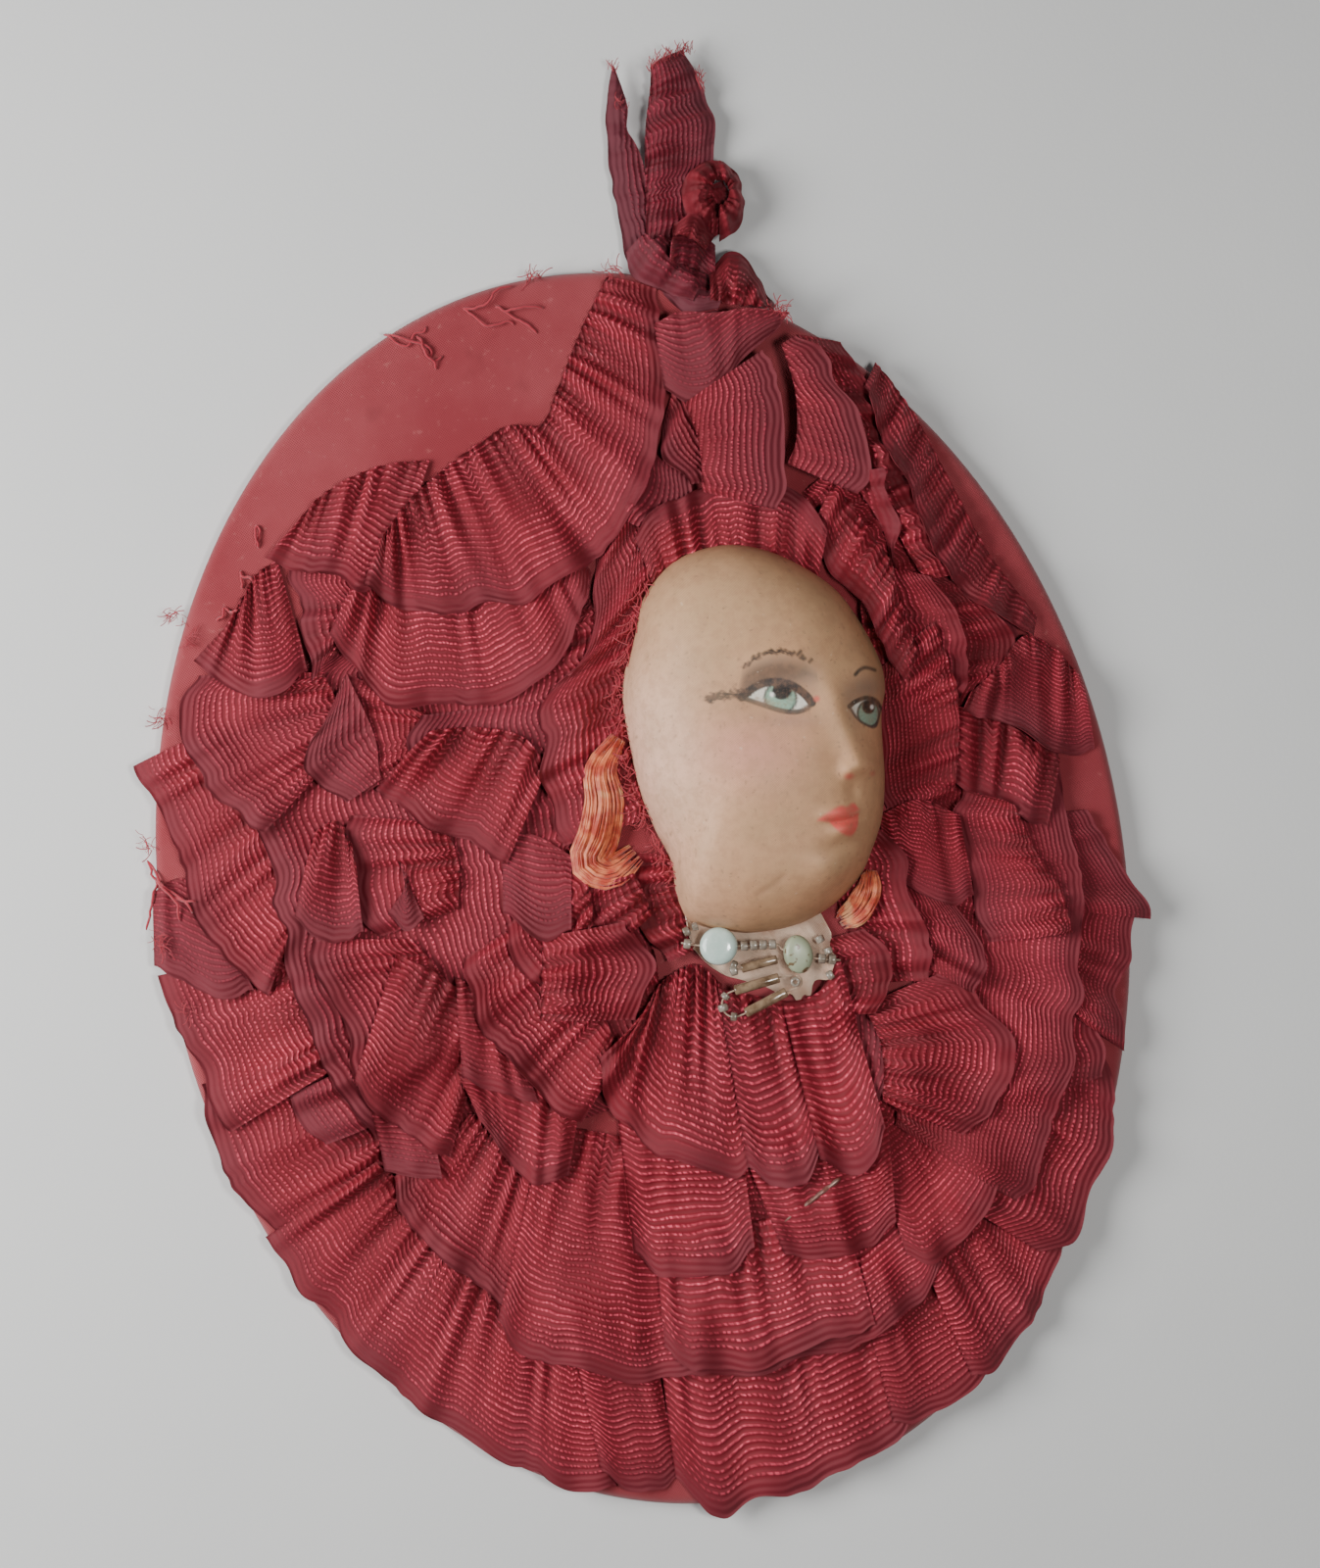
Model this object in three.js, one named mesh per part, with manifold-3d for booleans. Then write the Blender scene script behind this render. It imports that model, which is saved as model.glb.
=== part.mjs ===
// Oval ribbon plaque with a doll's mask: a card covered in red cotton, rows of gathered ribbon sewn on from the edge
// inwards, a pressed cloth face in the middle, a bead necklace at the neck and a knotted ribbon to hang it by.
// Millimetres. The plaque lies face up: X to the right, Y up the oval towards the knot, Z out of the face.
// The origin is the middle of the flat back.
import * as THREE from "three";
import { mergeVertices } from "three/addons/utils/BufferGeometryUtils.js";
import Module from "manifold-3d";

const wasm = await Module();
wasm.setup();

// Driving dimensions.
const CARD_HALF_WIDTH = 105; // covered card
const CARD_HALF_LENGTH = 135;
const GAP = 0.35; // room between pieces that lie on each other
const LINING = 0.5; // paper glued over the back
const CLOTH = 0.6; // red cotton that covers the card
const BOARD = 2.6; // the card itself
const TURN_IN = 13; // cotton folded round to the back
const RIBBON = 2.2; // one gathered row of ribbon, pressed flat
const MASK = { x: 29, y: 28, halfWidth: 31, halfLength: 42, height: 26, wall: 1.2 };
const SEAM = { x: 29, y: 21, halfWidth: 34, halfLength: 52 }; // where the innermost row is sewn, round face and neck
const SEED_RADIUS = 1.1; // clear glass seed bead
const SEED_LENGTH = 1.6;
const BUGLE_RADIUS = 1.1; // long tube bead
const BEAD_HOLE = 0.55;
const THREAD_RADIUS = 0.2;

// Heights, from the back up.
const RIM_Z = LINING + GAP;
const BOARD_Z = RIM_Z + CLOTH + GAP;
const COVER_Z = BOARD_Z + BOARD + GAP;
const FACE_Z = COVER_Z + CLOTH + GAP; // what is sewn to the front starts here
const NECK_TOP = FACE_Z + 4;
const STRAND_Z = NECK_TOP + 2.4; // the necklace's thread

const finish = (color, roughness, metalness = 0) =>
  new THREE.MeshStandardMaterial({ color, roughness, metalness });
const FINISH = {
  paper: finish(0x8c7a68, 0.95),
  board: finish(0xb79c8e, 0.95),
  cotton: finish(0x97494c, 0.9),
  ribbon: finish(0x9c363f, 0.55),
  ribbonDark: finish(0x7c3038, 0.6),
  ribbonPale: finish(0xa05a5c, 0.7),
  face: finish(0xc8a98a, 0.6),
  neck: finish(0xc8a88e, 0.9),
  wadding: finish(0xd8cdb8, 1),
  hair: finish(0xb76452, 0.4),
  glass: finish(0xb8b0a0, 0.1),
  bugle: finish(0x9a8a7c, 0.15),
  aqua: finish(0xbec7bf, 0.15),
  thread: finish(0x7a2a30, 0.8),
  steel: finish(0x7a6a66, 0.4, 0.8),
};

const plaque = new THREE.Group();

function put(name, geometry, material) {
  const mesh = new THREE.Mesh(geometry, material);
  mesh.name = name;
  plaque.add(mesh);
  return mesh;
}

// A closed solid skinned over rings with the same number of points, each turning right-handed about the way they go.
// The rings either join up end to end, or each end is closed by a fan.
function skin(rings, joined = false) {
  const n = rings[0].length;
  const points = rings.flat();
  const faces = [];
  const spans = joined ? rings.length : rings.length - 1;
  for (let r = 0; r < spans; r++) {
    const a = r * n;
    const b = ((r + 1) % rings.length) * n;
    for (let k = 0; k < n; k++) {
      const next = (k + 1) % n;
      faces.push(a + k, a + next, b + next, a + k, b + next, b + k);
    }
  }
  if (!joined) {
    const middle = (ring) =>
      ring.reduce((sum, p) => sum.add(p), new THREE.Vector3()).divideScalar(n);
    const last = (rings.length - 1) * n;
    const first = points.push(middle(rings[0])) - 1;
    const end = points.push(middle(rings[rings.length - 1])) - 1;
    for (let k = 0; k < n; k++) {
      const next = (k + 1) % n;
      faces.push(first, next, k, end, last + k, last + next);
    }
  }
  const geometry = new THREE.BufferGeometry().setFromPoints(points);
  geometry.setIndex(faces);
  geometry.computeVertexNormals();
  return geometry;
}

// An ellipse as a ring of points, anticlockwise seen from the front.
function oval({ x = 0, y = 0, halfWidth, halfLength }, inset, z, steps) {
  return Array.from({ length: steps }, (_, k) => {
    const turn = (2 * Math.PI * k) / steps;
    return new THREE.Vector3(
      x + (halfWidth - inset) * Math.cos(turn),
      y + (halfLength - inset) * Math.sin(turn),
      z,
    );
  });
}

// A flat piece cut to an outline of [x, y] corners.
function slab(corners, z, thickness) {
  const shape = new THREE.Shape(corners.map(([x, y]) => new THREE.Vector2(x, y)));
  const geometry = new THREE.ExtrudeGeometry(shape, { depth: thickness, bevelEnabled: false });
  return geometry.translate(0, 0, z);
}

// A length of ribbon lying flat along [x, y, z, half width] stations; z is its lower face.
function strap(stations, thickness) {
  return skin(
    stations.map(([x, y, z, half], i) => {
      const before = stations[Math.max(i - 1, 0)];
      const after = stations[Math.min(i + 1, stations.length - 1)];
      const run = new THREE.Vector3(after[0] - before[0], after[1] - before[1], 0).normalize();
      const across = new THREE.Vector3(run.y, -run.x, 0).multiplyScalar(half);
      const middle = new THREE.Vector3(x, y, z);
      const up = new THREE.Vector3(0, 0, thickness);
      const right = middle.clone().add(across);
      const left = middle.clone().sub(across);
      return [left, right, right.clone().add(up), left.clone().add(up)].reverse();
    }),
  );
}

// A round tube or rod through points, with a radius at each.
function tube(points, radii, { sides = 8, joined = false } = {}) {
  const path = points.map((p) => new THREE.Vector3(...p));
  const upright = new THREE.Vector3(0, 0, 1);
  return skin(
    path.map((p, i) => {
      const before = joined ? path[(i + path.length - 1) % path.length] : path[Math.max(i - 1, 0)];
      const after = joined ? path[(i + 1) % path.length] : path[Math.min(i + 1, path.length - 1)];
      const run = after.clone().sub(before).normalize();
      const side = run.clone().cross(upright).normalize();
      const top = side.clone().cross(run);
      const radius = Array.isArray(radii) ? radii[i] : radii;
      return Array.from({ length: sides }, (_, k) => {
        const turn = (2 * Math.PI * k) / sides;
        return p
          .clone()
          .addScaledVector(side, -radius * Math.cos(turn))
          .addScaledVector(top, radius * Math.sin(turn));
      });
    }),
    joined,
  );
}

const toSolid = (geometry) => {
  const bare = geometry.clone().deleteAttribute("normal").deleteAttribute("uv");
  const merged = mergeVertices(bare, 1e-4);
  return new wasm.Manifold(
    new wasm.Mesh({
      numProp: 3,
      vertProperties: merged.attributes.position.array,
      triVerts: new Uint32Array(merged.index.array),
    }),
  );
};

function cut(geometry, tool) {
  const mesh = toSolid(geometry).subtract(toSolid(tool)).getMesh();
  return new THREE.BufferGeometry()
    .setAttribute("position", new THREE.BufferAttribute(mesh.vertProperties, 3))
    .setIndex(new THREE.BufferAttribute(mesh.triVerts, 1));
}

// The covered card: card, cotton stretched over it and turned in at the back, paper lining.
const CARD = { halfWidth: CARD_HALF_WIDTH, halfLength: CARD_HALF_LENGTH };
const CARD_STEPS = 64;
const cardRing = (inset, z) => oval(CARD, inset, z, CARD_STEPS);

function coveredCard() {
  const wall = CLOTH + GAP;
  const liningInset = 6;
  put("back_lining", skin([cardRing(liningInset, 0), cardRing(liningInset, LINING)]), FINISH.paper);
  put(
    "base_card",
    skin([cardRing(wall, BOARD_Z), cardRing(wall, BOARD_Z + BOARD)]),
    FINISH.board,
  );
  const centre = CARD_HALF_WIDTH - 4; // inset of the innermost ring of each face
  const under = RIM_Z + CLOTH;
  const over = COVER_Z + CLOTH;
  put(
    "card_cover",
    skin([
      cardRing(centre, COVER_Z),
      cardRing(CLOTH, COVER_Z),
      cardRing(CLOTH, under),
      cardRing(TURN_IN, under),
      cardRing(TURN_IN, RIM_Z),
      cardRing(CLOTH, RIM_Z),
      cardRing(0, RIM_Z + CLOTH),
      cardRing(0, over - CLOTH),
      cardRing(CLOTH, over),
      cardRing(centre, over),
    ]),
    FINISH.cotton,
  );
}

// A row of ribbon lies like a roof slate: sewn to the card along its inner edge, its free hem over the row outside it.
// A row is placed by "depth", from 0 at the card's edge to 1 at the seam round the face.
const ROW_PITCH = 0.22; // depth from one hem to the next
const ROW_WIDTH = 0.34; // depth from a hem to its own seam
const ROW_CLIMB = (RIBBON + 2 * GAP) / ROW_PITCH; // rise per unit of depth, enough to clear the row below
const SCALLOP = 0.012; // how far the hem waves in and out
const STEP = 6; // degrees between sections

function onRow(depth, degrees, z) {
  const turn = THREE.MathUtils.degToRad(degrees);
  const outer = new THREE.Vector2(
    CARD_HALF_WIDTH * Math.cos(turn),
    CARD_HALF_LENGTH * Math.sin(turn),
  );
  const inner = new THREE.Vector2(
    SEAM.x + SEAM.halfWidth * Math.cos(turn),
    SEAM.y + SEAM.halfLength * Math.sin(turn),
  );
  const at = outer.lerp(inner, depth);
  return new THREE.Vector3(at.x, at.y, z);
}

function ruffle(name, row, from, to, material = FINISH.ribbon) {
  const gapDegrees = 0.5;
  const start = from + gapDegrees;
  const span = to - from - 2 * gapDegrees;
  const steps = Math.ceil(span / STEP);
  const hem = row * ROW_PITCH;
  const seam = hem + ROW_WIDTH;
  const rings = [];
  for (let i = 0; i <= steps; i++) {
    const degrees = start + (span * i) / steps;
    const out = hem - SCALLOP * (1 + Math.cos((Math.PI * i * 3) / steps));
    const hemZ = FACE_Z + ROW_CLIMB * (seam - out);
    rings.push([
      onRow(seam, degrees, FACE_Z),
      onRow(seam, degrees, FACE_Z + RIBBON),
      onRow(out, degrees, hemZ + RIBBON),
      onRow(out, degrees, hemZ),
    ]);
  }
  put(name, skin(rings), material);
}

// Each row as its cut lengths of ribbon: [name, first degree, last degree], anticlockwise from the right.
const ROWS = [
  [
    ["outer_ruffle_left", 150, 190],
    ["outer_ruffle_lower_left", 190, 256],
    ["outer_ruffle_bottom", 256, 290],
    ["outer_ruffle_lower_right", 290, 328],
    ["outer_ruffle_right", 328, 360],
  ],
  [
    ["second_ruffle_upper_left", 122, 152],
    ["second_ruffle_left", 152, 196],
    ["second_ruffle_lower_left", 196, 242],
    ["second_ruffle_bottom", 242, 290],
    ["second_ruffle_lower_right", 290, 328],
    ["second_ruffle_right", 328, 372],
    ["second_ruffle_upper_right", 372, 424],
  ],
  [
    ["third_ruffle_left", 140, 185],
    ["third_ruffle_lower_left", 185, 238],
    ["third_ruffle_bottom", 238, 300],
    ["third_ruffle_lower_right", 300, 340],
    ["third_ruffle_right", 340, 395],
  ],
  [
    ["face_frill_top", 45, 125],
    ["face_frill_left", 125, 205],
    ["bib_left", 205, 260],
    ["bib_pleat", 260, 272],
    ["bib_right", 272, 300],
    ["face_frill_right", 300, 405],
  ],
];

// Over the crown the ribbon falls the other way: gathered towards the card's top edge, with its hem towards the face.
const CROWN_THICK = 1.4;
const PILE_TOP = FACE_Z + ROW_CLIMB * (ROW_WIDTH + 2 * SCALLOP) + RIBBON; // highest hem of the rows below
const CROWN_Z = PILE_TOP + GAP;
function crown() {
  const lower = [
    [-58, 65], [-52, 57], [-46, 50], [-38, 47], [-25, 46], [-14, 49], [-8, 54], [-2, 60], [3, 66], [0, 72], [-35, 72],
    [-50, 70],
  ];
  const upper = [
    [24, 100], [24, 118], [20, 126], [12, 128], [7, 118], [1, 110], [-8, 105.5], [-25, 99], [-45, 100], [-58, 93],
    [-67, 86], [-58, 80], [-48, 75], [-38, 68], [-12, 66.5], [0, 69.5], [13, 83], [20, 91],
  ];
  put("crown_ribbon_lower", slab(lower, CROWN_Z, CROWN_THICK), FINISH.ribbon);
  put("crown_ribbon", slab(upper, CROWN_Z + CROWN_THICK + GAP, CROWN_THICK), FINISH.ribbon);
}

// The mask: pressed, painted cloth, open at the back and packed with wadding. The face looks a little to the right,
// so the nose stands near that side.
const MASK_STEPS = 32;
const NOSE = { x: 50, y: 20, rise: 4, reach: 6 };
const DOME_POWER = 2.4; // above 2 the dome has steeper sides and a flatter middle than an ellipse

function domeRings(inset, rise, shares) {
  return shares.map((share) => {
    const lift = Math.sqrt(1 - share ** DOME_POWER);
    const size = {
      ...MASK,
      halfWidth: (MASK.halfWidth - inset) * share,
      halfLength: (MASK.halfLength - inset) * share,
    };
    return oval(size, 0, FACE_Z, MASK_STEPS).map((p) => {
      const away = Math.hypot(p.x - NOSE.x, p.y - NOSE.y) / NOSE.reach;
      p.z += rise * lift + NOSE.rise * lift * Math.exp(-away * away);
      return p;
    });
  });
}

function face() {
  const shares = [0.05, 0.25, 0.45, 0.62, 0.78, 0.9, 0.97, 1];
  const outward = domeRings(MASK.wall, MASK.height - MASK.wall, shares);
  const inward = domeRings(0, MASK.height, shares).reverse();
  put("face_mask", skin([...outward, ...inward]), FINISH.face);
  const packing = domeRings(MASK.wall + 2 * GAP, MASK.height - MASK.wall - 2 * GAP, shares).reverse();
  put("face_wadding", skin(packing), FINISH.wadding);
  const neckOutline = [
    [7.5, -4.5], [8, -17], [13, -21.5], [18, -23], [25, -27], [28, -30.2], [31.5, -29.5],
    [36, -26], [38, -15.5], [36, -13.8], [29, -15], [20, -13.4], [13, -9.3],
  ];
  put("neck_cloth", slab(neckOutline, FACE_Z, NECK_TOP - FACE_Z), FINISH.neck);
}

// Tufts of satin yarn that stand for hair, tucked between the mask and the frill on each side.
function hair() {
  const leftTuft = [[-3, 28], [-9, 27], [-14, 15], [-13, 4], [-6, 3], [-2.8, 14]];
  const rightTuft = [[42.5, -12.5], [40.5, -16], [44, -17.5], [49, -14], [50, -8.5], [47.8, -7]];
  const left = { z: FACE_Z + 4, thick: 3.2 }; // over the frill
  const right = { z: FACE_Z + 0.5, thick: 5.5 }; // beside the mask's jaw, on the cover
  put("hair_left", slab(leftTuft, left.z, left.thick), FINISH.hair);
  put("hair_right", slab(rightTuft, right.z, right.thick), FINISH.hair);
}

// The bow over the forehead: a folded band sewn down, and two cut tails that lift off the frill from its lower edge.
const BOW_Z = PILE_TOP + 3 * GAP;
const BOW_THICK = 1.4;
function bow() {
  const band = [
    [25, 103.5], [30, 101], [36, 103], [43, 109], [50, 112], [54, 116], [46, 118.5], [31, 117.5], [25, 119],
  ];
  const leftTail = [[29.5, 98.5], [49.3, 108.6], [45, 74.5], [36, 78], [29.5, 82.5]];
  const rightTail = [[50.6, 109.2], [55, 111.4], [62.5, 96], [64, 85], [62.5, 75], [50.5, 81], [47.6, 85.5]];
  put("bow_band", slab(band, BOW_Z - 0.6, 3), FINISH.ribbonDark);
  put("bow_tail_left", slab(leftTail.reverse(), BOW_Z, BOW_THICK), FINISH.ribbonPale);
  put("bow_tail_right", slab(rightTail.reverse(), BOW_Z, BOW_THICK), FINISH.ribbonPale);
}

// The hanging ribbon: knotted through the top edge, with two frayed tails and a curled loop above the knot.
function topknot() {
  const knotZ = FACE_Z + 1;
  const knotPath = [[24, 131.5, knotZ, 3], [29, 128, knotZ, 5], [35, 124.5, knotZ, 4.5], [39, 121.5, knotZ, 3]];
  put("knot", strap(knotPath, 3.2), FINISH.ribbonDark);
  const sideLoop = [[41.5, 124], [49.5, 119.5], [51.5, 121.5], [49, 128], [44.5, 130.6], [41, 129]];
  put("knot_side_loop", slab(sideLoop, knotZ, 4.5), FINISH.ribbon);
  // The tails lie one over the other, the curl on top.
  const tailThick = 1.6;
  const thinZ = 2;
  const wideZ = thinZ + tailThick + 0.6;
  const curlZ = wideZ + tailThick + 0.6;
  const thinTail = [
    [25, 134.6, thinZ, 4], [24.6, 145, thinZ, 4.4], [25, 156, thinZ, 4], [26, 166, thinZ, 2.8], [26.6, 177, thinZ, 0.6],
  ];
  const wideTail = [
    [33, 134.6, wideZ, 4], [34, 145, wideZ, 7], [37, 156, wideZ, 8], [38.5, 166, wideZ, 6.5], [41.5, 178, wideZ, 3.5],
  ];
  const curl = [[39, 134.8], [46, 137], [49, 142], [50, 150], [45.5, 153], [40, 150], [38, 143]];
  put("tail_thin", strap(thinTail, tailThick), FINISH.ribbonPale);
  put("tail_wide", strap(wideTail, tailThick), FINISH.ribbon);
  put("tail_curl", slab(curl, curlZ, 5), FINISH.ribbon);
}

// Glass beads. A bead is threaded along the run between two points of its strand.
function beadOn(name, from, to, share, material, { radius = SEED_RADIUS, length = SEED_LENGTH } = {}) {
  const round = Math.min(radius - BEAD_HOLE, length / 2) * 0.6;
  const half = length / 2;
  const profile = [
    [BEAD_HOLE, -half + round / 3],
    [radius - round, -half],
    [radius, -half + round],
    [radius, half - round],
    [radius - round, half],
    [BEAD_HOLE, half - round / 3],
    [BEAD_HOLE, -half + round / 3],
  ].map(([r, h]) => new THREE.Vector2(r, h));
  const a = new THREE.Vector3(...from);
  const b = new THREE.Vector3(...to);
  const mesh = put(name, new THREE.LatheGeometry(profile, 10), material);
  mesh.position.lerpVectors(a, b, share);
  mesh.quaternion.setFromUnitVectors(new THREE.Vector3(0, 1, 0), b.sub(a).normalize());
}

// A flat round bead, drilled through its width for the thread.
function coinBead(name, [x, y], halfWidth, halfLength, from, to) {
  const thick = 3.6;
  const shares = [0.06, 0.6, 0.88, 1];
  const rise = (share) => (thick / 2) * Math.sqrt(1 - share ** 3);
  const ring = (share, z) => oval({ x, y, halfWidth: halfWidth * share, halfLength: halfLength * share }, 0, z, 20);
  const below = shares.slice(0, 3).map((share) => ring(share, STRAND_Z - rise(share)));
  const above = shares.slice(0, 3).reverse().map((share) => ring(share, STRAND_Z + rise(share)));
  const solid = skin([...below, ring(1, STRAND_Z), ...above]);
  put(name, cut(solid, tube([from, to], BEAD_HOLE)), FINISH.aqua);
}

function necklace() {
  const z = STRAND_Z;
  const strand = [
    [6, -12.8, z], [9, -13.9, z], [18.2, -15.8, z], [26.2, -16.9, z], [26.9, -18.4, z], [33.7, -21.4, z], [39, -22.8, z],
  ];
  put("necklace_thread", tube(strand, THREAD_RADIUS, { sides: 6 }), FINISH.thread);
  const [leftEnd, leftHole, midStart, midEnd, rightHole, rightRun, rightEnd] = strand;
  beadOn("bead_left_end", leftEnd, leftHole, 0.42, FINISH.glass);
  coinBead("flat_bead_left", [13.8, -15], 4.1, 4.1, leftHole, midStart);
  [0.13, 0.38, 0.63, 0.88].forEach((share, i) =>
    beadOn(`bead_middle_${i + 1}`, midStart, midEnd, share, FINISH.glass),
  );
  coinBead("flat_bead_right", [30.3, -19.9], 3.15, 4.2, rightHole, rightRun);
  [0.28, 0.68].forEach((share, i) =>
    beadOn(`bead_right_${i + 1}`, rightRun, rightEnd, share, FINISH.glass),
  );
}

// A shorter strand under the first: one clear bead and one amber tube bead.
function lowerStrand() {
  const z = STRAND_Z - 0.7;
  const strand = [[14.6, -20.9, z], [26.4, -20.1, z]];
  put("lower_thread", tube(strand, THREAD_RADIUS, { sides: 6 }), FINISH.thread);
  beadOn("bead_lower", ...strand, 0.12, FINISH.glass);
  beadOn("amber_bugle", ...strand, 0.6, FINISH.bugle, { radius: 1, length: 8 });
}

// The drop: two tube beads on a loop of thread that hangs on one bead sewn down under the right flat bead.
const DROP = { x: 28.6, y: -25.6, z: STRAND_Z };
function drop() {
  const { x, y, z } = DROP;
  const post = put(
    "drop_post",
    new THREE.LatheGeometry(
      [[0, -0.9], [0.7, -0.9], [0.9, -0.5], [0.9, 0.5], [0.7, 0.9], [0, 0.9]].map(
        ([r, h]) => new THREE.Vector2(r, h),
      ),
      12,
    ),
    FINISH.glass,
  );
  post.rotation.x = Math.PI / 2;
  post.position.set(x, y, z);
  const round = 1.4;
  const bend = (degrees) => {
    const turn = THREE.MathUtils.degToRad(degrees);
    return [x + round * Math.cos(turn), y + round * Math.sin(turn), z];
  };
  const upper = [[25.9, -24, z], [14.8, -25.1, z]];
  const lower = [[16.2, -30.4, z], [26.9, -27.2, z]];
  const loop = [
    ...upper, [13.3, -25.6, z], [12.2, -27.2, z], [12.4, -29.2, z], [13.8, -30.5, z], ...lower,
    bend(-70), bend(-25), bend(20), bend(65), bend(100),
  ];
  put("drop_thread", tube(loop, THREAD_RADIUS, { sides: 6, joined: true }), FINISH.thread);
  beadOn("drop_bugle_upper", ...upper, 0.5, FINISH.bugle, { radius: BUGLE_RADIUS, length: 10 });
  beadOn("drop_bugle_lower", ...lower, 0.5, FINISH.bugle, { radius: BUGLE_RADIUS, length: 10 });
  beadOn("drop_bead", [12.2, -27.2, z], [12.4, -29.2, z], 0.5, FINISH.glass);
}

// A pin left in the ribbon below the bib. It lies along the ribbon's slope and draws out along its own length.
function pin() {
  const head = new THREE.Vector3(30.3, -69, FACE_Z + 5.2);
  const tip = new THREE.Vector3(14.3, -77.1, FACE_Z + 6.23);
  const taper = head.clone().lerp(tip, 0.6);
  const shank = [tip, taper, head].map((p) => p.toArray());
  put("loose_pin", tube(shank, [0.12, 0.45, 0.5]), FINISH.steel);
}

coveredCard();
ROWS.forEach((lengths, row) => lengths.forEach(([name, from, to]) => ruffle(name, row, from, to)));
crown();
face();
hair();
bow();
topknot();
necklace();
lowerStrand();
drop();
pin();

export default plaque;
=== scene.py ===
import math

import bmesh
import bpy
import numpy as np
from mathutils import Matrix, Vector


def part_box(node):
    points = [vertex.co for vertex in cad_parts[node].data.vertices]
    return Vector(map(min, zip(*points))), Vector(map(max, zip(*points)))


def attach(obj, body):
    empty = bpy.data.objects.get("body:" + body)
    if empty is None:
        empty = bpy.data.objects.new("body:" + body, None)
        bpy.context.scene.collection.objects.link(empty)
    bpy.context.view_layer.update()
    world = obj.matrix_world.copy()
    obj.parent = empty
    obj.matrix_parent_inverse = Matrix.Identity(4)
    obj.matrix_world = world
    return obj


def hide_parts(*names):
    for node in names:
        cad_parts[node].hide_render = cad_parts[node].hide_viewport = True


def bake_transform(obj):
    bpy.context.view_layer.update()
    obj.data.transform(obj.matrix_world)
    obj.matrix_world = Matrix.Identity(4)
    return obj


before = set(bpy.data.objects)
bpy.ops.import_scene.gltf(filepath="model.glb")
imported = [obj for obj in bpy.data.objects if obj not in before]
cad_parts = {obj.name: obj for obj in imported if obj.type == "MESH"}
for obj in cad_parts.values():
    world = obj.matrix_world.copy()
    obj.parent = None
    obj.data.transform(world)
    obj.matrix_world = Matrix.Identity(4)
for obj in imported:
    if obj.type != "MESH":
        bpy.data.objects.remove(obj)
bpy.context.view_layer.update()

# ------------------------------------------------------------
# Camera, light and the table. The plaque lies face up and is looked at from straight above, turned a
# little so that its top leans to the left.
MM = 0.001
VIEW_HEIGHT = 0.3392
VIEW_CENTRE = (0.0079, 0.0216, 0.008)
VIEW_TURN = math.radians(-10.72)
LENS = 70.0
FILM = 36.0

camera_data = bpy.data.cameras.new("camera")
camera_data.lens = LENS
camera_data.sensor_width = FILM
camera = bpy.data.objects.new("camera", camera_data)
camera.location = Vector(VIEW_CENTRE) + Vector((0, 0, VIEW_HEIGHT * LENS / FILM))
camera.rotation_euler = (0, 0, VIEW_TURN)
bpy.context.scene.collection.objects.link(camera)
bpy.context.scene.camera = camera


def soft_light(name, place, size, watts, tint):
    lamp = bpy.data.lights.new(name, "AREA")
    lamp.shape = "DISK"
    lamp.size = size
    lamp.energy = watts
    lamp.color = tint
    made = bpy.data.objects.new(name, lamp)
    made.location = place
    made.rotation_euler = (-Vector(place)).to_track_quat("-Z", "Y").to_euler()
    bpy.context.scene.collection.objects.link(made)


soft_light("window_light", (-0.42, 0.12, 0.38), 0.40, 4.9, (1.0, 0.99, 0.98))
soft_light("flash_light", (0.15, -0.03, 0.60), 0.10, 1.7, (1.0, 0.99, 0.97))

world = bpy.data.worlds.new("room")
world.use_nodes = True
world.node_tree.nodes["Background"].inputs["Color"].default_value = (0.80, 0.84, 0.88, 1)
world.node_tree.nodes["Background"].inputs["Strength"].default_value = 0.08
bpy.context.scene.world = world


def add_node(tree, kind, sockets=None, **settings):
    """A shader node with its settings, and its sockets set to values or linked."""
    made = tree.nodes.new(kind)
    for key, value in settings.items():
        setattr(made, key, value)
    for key, value in (sockets or {}).items():
        if isinstance(value, bpy.types.NodeSocket):
            tree.links.new(value, made.inputs[key])
        else:
            made.inputs[key].default_value = value
    return made


def new_material(name, **surface):
    """A material with one Principled surface: (material, its tree, its surface node)."""
    material = bpy.data.materials.new(name)
    material.use_nodes = True
    tree = material.node_tree
    shader = tree.nodes["Principled BSDF"]
    for key, value in surface.items():
        shader.inputs[key.replace("_", " ")].default_value = value
    return material, tree, shader


def maths(tree, operation, *values):
    return add_node(tree, "ShaderNodeMath", dict(enumerate(values)), operation=operation).outputs[0]


def ramp(tree, value, low, high, out_low=0.0, out_high=1.0):
    """A smooth step from out_low to out_high as value goes from low to high."""
    sockets = {"Value": value, 1: low, 2: high, 3: out_low, 4: out_high}
    made = add_node(tree, "ShaderNodeMapRange", sockets, interpolation_type="SMOOTHSTEP")
    return made.outputs[0]


def blend_colour(tree, share, first, second):
    sockets = {0: share, 6: first, 7: second}
    return add_node(tree, "ShaderNodeMix", sockets, data_type="RGBA").outputs[2]


def noise(tree, place, scale, detail=2.0, roughness=0.5):
    sockets = {"Vector": place, "Scale": scale, "Detail": detail, "Roughness": roughness}
    return add_node(tree, "ShaderNodeTexNoise", sockets).outputs[0]


def bump(tree, height, distance, strength=1.0):
    sockets = {"Height": height, "Distance": distance, "Strength": strength}
    return add_node(tree, "ShaderNodeBump", sockets).outputs[0]


def object_place(tree):
    return add_node(tree, "ShaderNodeTexCoord").outputs["Object"]


def patches(tree, colour, new, strength, pattern, low, high):
    """Lay a new colour over another in soft patches; pattern is a noise's scale, detail and roughness."""
    share = ramp(tree, noise(tree, object_place(tree), *pattern), low, high)
    return blend_colour(tree, maths(tree, "MULTIPLY", share, strength), colour, new)


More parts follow.
